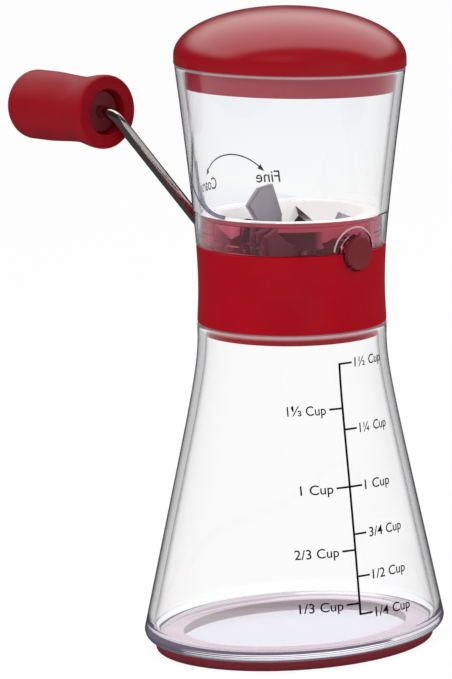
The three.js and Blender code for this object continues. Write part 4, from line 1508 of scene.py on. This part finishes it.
class CHOPPER_OT_cup_scale(Operator):
    """Print the cup scale on the flask"""

    bl_idname = "chopper.print_cup_scale"
    bl_label = "Cup scale"

    # Each row's words, its height on the flask and the words' width, in millimetres.
    RIGHT = (
        ("1½ Cup", 94.0, 13.2),
        ("1¼ Cup", 73.7, 12.6),
        ("1 Cup", 56.1, 10.9),
        ("3/4 Cup", 41.4, 14.6),
        ("1/2 Cup", 28.3, 14.4),
        ("1/4 Cup", 16.6, 15.2),
    )
    LEFT = (("1⅓ Cup", 80.3, 12.2), ("1 Cup", 56.1, 10.6), ("2/3 Cup", 36.6, 14.3), ("1/3 Cup", 20.0, 14.3))
    # Two points of the upright line, which leans a little: across the flask and up, in millimetres.
    LINE_LOW = (0.95, 16)
    LINE_HIGH = (-0.15, 94)

    def execute(self, context):
        sizes = context.scene.chopper_print
        turn = Matrix.Rotation(context.scene.chopper_flask.turn, 3, "Z")
        low_across, low_height = self.LINE_LOW
        high_across, high_height = self.LINE_HIGH

        def lean(height):
            rise = (height / MM - low_height) / (high_height - low_height)
            return (low_across + (high_across - low_across) * rise) * MM

        def wall(across, height, out):
            place, normal = unrolled(across, flask_half_length(height), flask_half_depth(height))
            slope = (flask_half_depth(height - MM) - flask_half_depth(height + MM)) / (2 * MM)
            normal = (normal + Vector((0, 0, slope))).normalized()
            return turn @ (place + Vector((0, 0, height)) + normal * out) + Vector((0, AXIS_Y, 0))

        sheet = Sheet()
        top, bottom = self.RIGHT[0][1] * MM, self.RIGHT[-1][1] * MM
        past = sizes.tick / 2
        sheet.bar((lean(bottom), bottom - past), (lean(top), top + past), sizes.line, steps=40)
        for side, rows in ((1, self.RIGHT), (-1, self.LEFT)):
            for text, height, width in rows:
                level = height * MM
                start = lean(level)
                end = start + side * sizes.tick_length
                sheet.bar((start, level), (end, level), sizes.tick)
                left = end + sizes.word_gap if side > 0 else end - sizes.word_gap - width * MM
                words = flat_word(text, sizes.cap_height, width * MM)
                sheet.add(*words, place=(left, level - sizes.cap_height / 2))
        placed(sheet.laid("cup_scale", wall), "flask", None)
        return {"FINISHED"}


class CHOPPER_OT_turn_marks(Operator):
    """Print the fine and coarse turning marks on the hopper's back"""

    bl_idname = "chopper.print_turn_marks"
    bl_label = "Turning marks"

    # The arc's centre in millimetres, across and up, its two ends in degrees, and how much wider
    # its right half is. Each word has its lower left corner and its width in millimetres.
    CENTRE = (-3.7, 137.3)
    ENDS = (134, 48.5)
    RIGHT_STRETCH = 1.17
    WORDS = (("Fine", (-21.1, 143.2), 8.3), ("Coarse", (4.0, 142.6), 14.0))

    def execute(self, context):
        sizes = context.scene.chopper_print
        centre = Vector(self.CENTRE) * MM
        first, last = (math.radians(end) for end in self.ENDS)
        steps = 40

        def direction(angle):
            stretch = self.RIGHT_STRETCH if math.cos(angle) > 0 else 1
            return Vector((math.cos(angle) * stretch, math.sin(angle)))

        sheet = Sheet()
        half = sizes.arrow_line / 2
        points = []
        for angle in between(first, last, steps):
            for radius in (sizes.arrow_radius - half, sizes.arrow_radius + half):
                points.append(tuple(centre + direction(angle) * radius))
        sheet.add(points, sheet.strip(steps))
        for angle, way in ((first, 1), (last, -1)):
            foot = centre + direction(angle) * sizes.arrow_radius
            along = Vector((-math.sin(angle), math.cos(angle))) * way
            side = along.orthogonal() * sizes.head_half
            head = [foot + along * sizes.head_length, foot + side, foot - side]
            sheet.add([tuple(point) for point in head], [(0, 1, 2)])
        for text, corner, width in self.WORDS:
            sheet.add(*flat_word(text, sizes.mark_height, width * MM), place=tuple(Vector(corner) * MM))

        def wall(across, height, out):
            half_x, half_y, _ = hopper_ring(height, 0)
            place, normal = unrolled(across, half_x, half_y)
            return Vector((0, AXIS_Y, height)) - place - normal * out

        placed(sheet.laid("turn_marks", wall), "hopper_unit", None)
        return {"FINISHED"}


class CHOPPER_OT_stage(Operator):
    """Set up the camera, the light, the world and the floor"""

    bl_idname = "chopper.set_stage"
    bl_label = "Stage"

    # Each lamp's name, place, size and power in watts, and the height that all of them look at.
    LAMPS = (
        ("key_light", (-0.95, -0.15, 0.85), (0.55, 0.55), 5.0),
        ("front_light", (-0.35, -1.15, 0.35), (0.5, 0.7), 1.6),
        ("side_light", (0.75, -0.75, 0.45), (0.35, 0.8), 2.4),
    )
    LIT_HEIGHT = 0.13
    # Strengths of the world in reflections, where it is dark and where its softbox is.
    DARK_SKY = 0.03
    SOFTBOX = 1.6
    # Colours of the floor seen through the plastic, far away and in an oval under the flask, both painted
    # shade, with the distances between which each comes in, and the floor's colour in reflections.
    FAR_PAINTED_SHADE = (0.84, 0.87, 0.93, 1)
    FAR_FADE = (0.7, 2.2)
    UNDER_PAINTED_SHADE = (0.76, 0.76, 0.86, 1)
    UNDER_FADE = (41 * MM, 46 * MM)
    UNDER_OVAL = (1, 1.3, 0)
    DIM = (0.03, 0.03, 0.035, 1)
    FLOOR_GAP = 0.2 * MM

    def execute(self, context):
        self.camera(context)
        self.lights()
        self.world(context)
        self.floor()
        return {"FINISHED"}

    def camera(self, context):
        right, back = CAMERA_RIGHT.normalized(), CAMERA_BACK.normalized()
        up = back.cross(right)
        camera = bpy.data.cameras.new("camera")
        camera.sensor_width = SENSOR
        camera.lens = LENS
        camera.clip_start = 0.05
        camera.clip_end = 20
        holder = link(bpy.data.objects.new("camera", camera))
        turn = Matrix((right, up, back)).transposed().to_4x4()
        holder.matrix_world = Matrix.Translation(CAMERA_PLACE) @ turn
        context.scene.camera = holder
        context.scene.view_settings.view_transform = "Standard"

    def lights(self):
        target = Vector((0, AXIS_Y, self.LIT_HEIGHT))
        for name, place, (width, height), power in self.LAMPS:
            lamp = bpy.data.lights.new(name, "AREA")
            lamp.shape = "RECTANGLE"
            lamp.size, lamp.size_y = width, height
            lamp.energy = power
            holder = link(bpy.data.objects.new(name, lamp))
            holder.location = place
            holder.rotation_euler = (target - Vector(place)).to_track_quat("-Z", "Y").to_euler()
            holder.visible_glossy = False
            holder.visible_transmission = False

    def seen_through(self, graph, ray, heading):
        """One for light that came straight through clear plastic. Once it was reflected it is seen
        in full only straight behind the object, so that clear walls keep their dark edges."""
        level = graph.vector("NORMALIZE", graph.vector("MULTIPLY", heading, (1, 1, 0)))
        share = graph.smooth(graph.vector("DOT_PRODUCT", level, AWAY), 0.9, 0.985, 0.68, 0.98)
        bounced = ray.output("Glossy Depth").below(1)
        return ray.output("Is Transmission Ray") * (1 - bounced * (1 - share))

    def world(self, context):
        world = bpy.data.worlds.new("studio")
        context.scene.world = world
        world.use_nodes = True
        sky = Graph(world.node_tree)
        heading = sky.node("ShaderNodeTexCoord", output="Generated")
        rise = sky.upward(heading)
        facing = sky.vector("DOT_PRODUCT", heading, AWAY)
        softbox = sky.smooth(rise, 0.2, 0.5) * sky.smooth(facing, -0.25, 0.0)
        ray = sky.node("ShaderNodeLightPath", output="Is Camera Ray")
        seen = ray.above(self.seen_through(sky, ray, heading))
        diffuse = ray.output("Is Diffuse Ray")
        lit = sky.smooth(rise, -0.2, 0.9, 0.4, 0.8)
        unseen = diffuse * lit + (1 - diffuse) * (self.DARK_SKY + softbox * self.SOFTBOX)
        strength = seen + (1 - seen) * unseen
        glow = sky.node("ShaderNodeBackground", None, {"Color": (1, 1, 1, 1), "Strength": strength})
        sky.node("ShaderNodeOutputWorld", None, {"Surface": glow})

    def floor(self):
        work = bmesh.new()
        bmesh.ops.create_grid(work, x_segments=8, y_segments=8, size=3)
        work.transform(Matrix.Translation((0, 0, -self.FLOOR_GAP)))
        floor = kept(work, "floor")
        floor.data.materials.append(self.floor_white())

    def floor_white(self):
        """White to the camera, white with painted shade through the plastic, dim in reflections, and matte
        under the lamps.
        """
        surface = Finish("floor_white")
        shade = surface.blend(surface.grain(9, 2), (0.9, 0.9, 0.9, 1), (0.94, 0.94, 0.94, 1))
        matte = surface.node("ShaderNodeBsdfDiffuse", None, {"Color": shade})
        ray = surface.node("ShaderNodeLightPath", output="Is Camera Ray")
        through = self.seen_through(surface, ray, surface.place)
        far = surface.smooth(surface.vector("LENGTH", surface.place), *self.FAR_FADE) * through
        from_axis = surface.vector("SUBTRACT", surface.place, (0, AXIS_Y, 0))
        in_oval = surface.vector("LENGTH", surface.vector("MULTIPLY", from_axis, self.UNDER_OVAL))
        under = surface.smooth(in_oval, *self.UNDER_FADE, 1, 0) * through
        white = surface.blend(far, (1, 1, 1, 1), self.FAR_PAINTED_SHADE)
        white = surface.blend(under, white, self.UNDER_PAINTED_SHADE)
        glow = surface.node("ShaderNodeEmission", None, {"Color": white, "Strength": 1.0})
        shown = ray.above(through) * 0.92
        lit = surface.node("ShaderNodeMixShader", None, {0: shown, 1: matte, 2: glow})
        dim = surface.node("ShaderNodeBsdfDiffuse", None, {"Color": self.DIM})
        reflected = (ray.output("Is Glossy Ray") - through).above(0) * 0.96
        return surface.done(surface.node("ShaderNodeMixShader", None, {0: reflected, 1: lit, 2: dim}))


class CHOPPER_PT_pieces(Panel):
    """Lists the chopper's pieces with their sizes and colours"""

    bl_label = "Chopper"
    bl_idname = "CHOPPER_PT_pieces"
    bl_space_type = "VIEW_3D"
    bl_region_type = "UI"
    bl_category = "Chopper"

    def draw(self, context):
        for group in GROUPS:
            box = self.layout.box()
            box.label(text=group.__doc__)
            held = getattr(context.scene, GROUPS[group])
            for name in group.__annotations__:
                box.prop(held, name)
        for step in STEPS:
            self.layout.operator(step.bl_idname)


GROUPS = {
    FlaskSizes: "chopper_flask",
    WaistSizes: "chopper_waist",
    FunnelSizes: "chopper_funnel",
    HopperSizes: "chopper_hopper",
    LidSizes: "chopper_lid",
    CrankSizes: "chopper_crank",
    PrintSizes: "chopper_print",
    ChopperLooks: "chopper_looks",
}

STEPS = (
    CHOPPER_OT_flask,
    CHOPPER_OT_foot,
    CHOPPER_OT_waist,
    CHOPPER_OT_chamber,
    CHOPPER_OT_funnel,
    CHOPPER_OT_hopper,
    CHOPPER_OT_lid,
    CHOPPER_OT_rod,
    CHOPPER_OT_cap,
    CHOPPER_OT_rotor,
    CHOPPER_OT_grip,
    CHOPPER_OT_cup_scale,
    CHOPPER_OT_turn_marks,
    CHOPPER_OT_stage,
)


def register():
    for group, name in GROUPS.items():
        bpy.utils.register_class(group)
        setattr(bpy.types.Scene, name, PointerProperty(type=group))
    for step in STEPS:
        bpy.utils.register_class(step)
    bpy.utils.register_class(CHOPPER_PT_pieces)


def unregister():
    bpy.utils.unregister_class(CHOPPER_PT_pieces)
    for step in reversed(STEPS):
        bpy.utils.unregister_class(step)
    for group, name in GROUPS.items():
        delattr(bpy.types.Scene, name)
        bpy.utils.unregister_class(group)


def main():
    register()
    for step in STEPS:
        group, name = step.bl_idname.split(".")
        getattr(getattr(bpy.ops, group), name)()


if __name__ == "__main__":
    main()
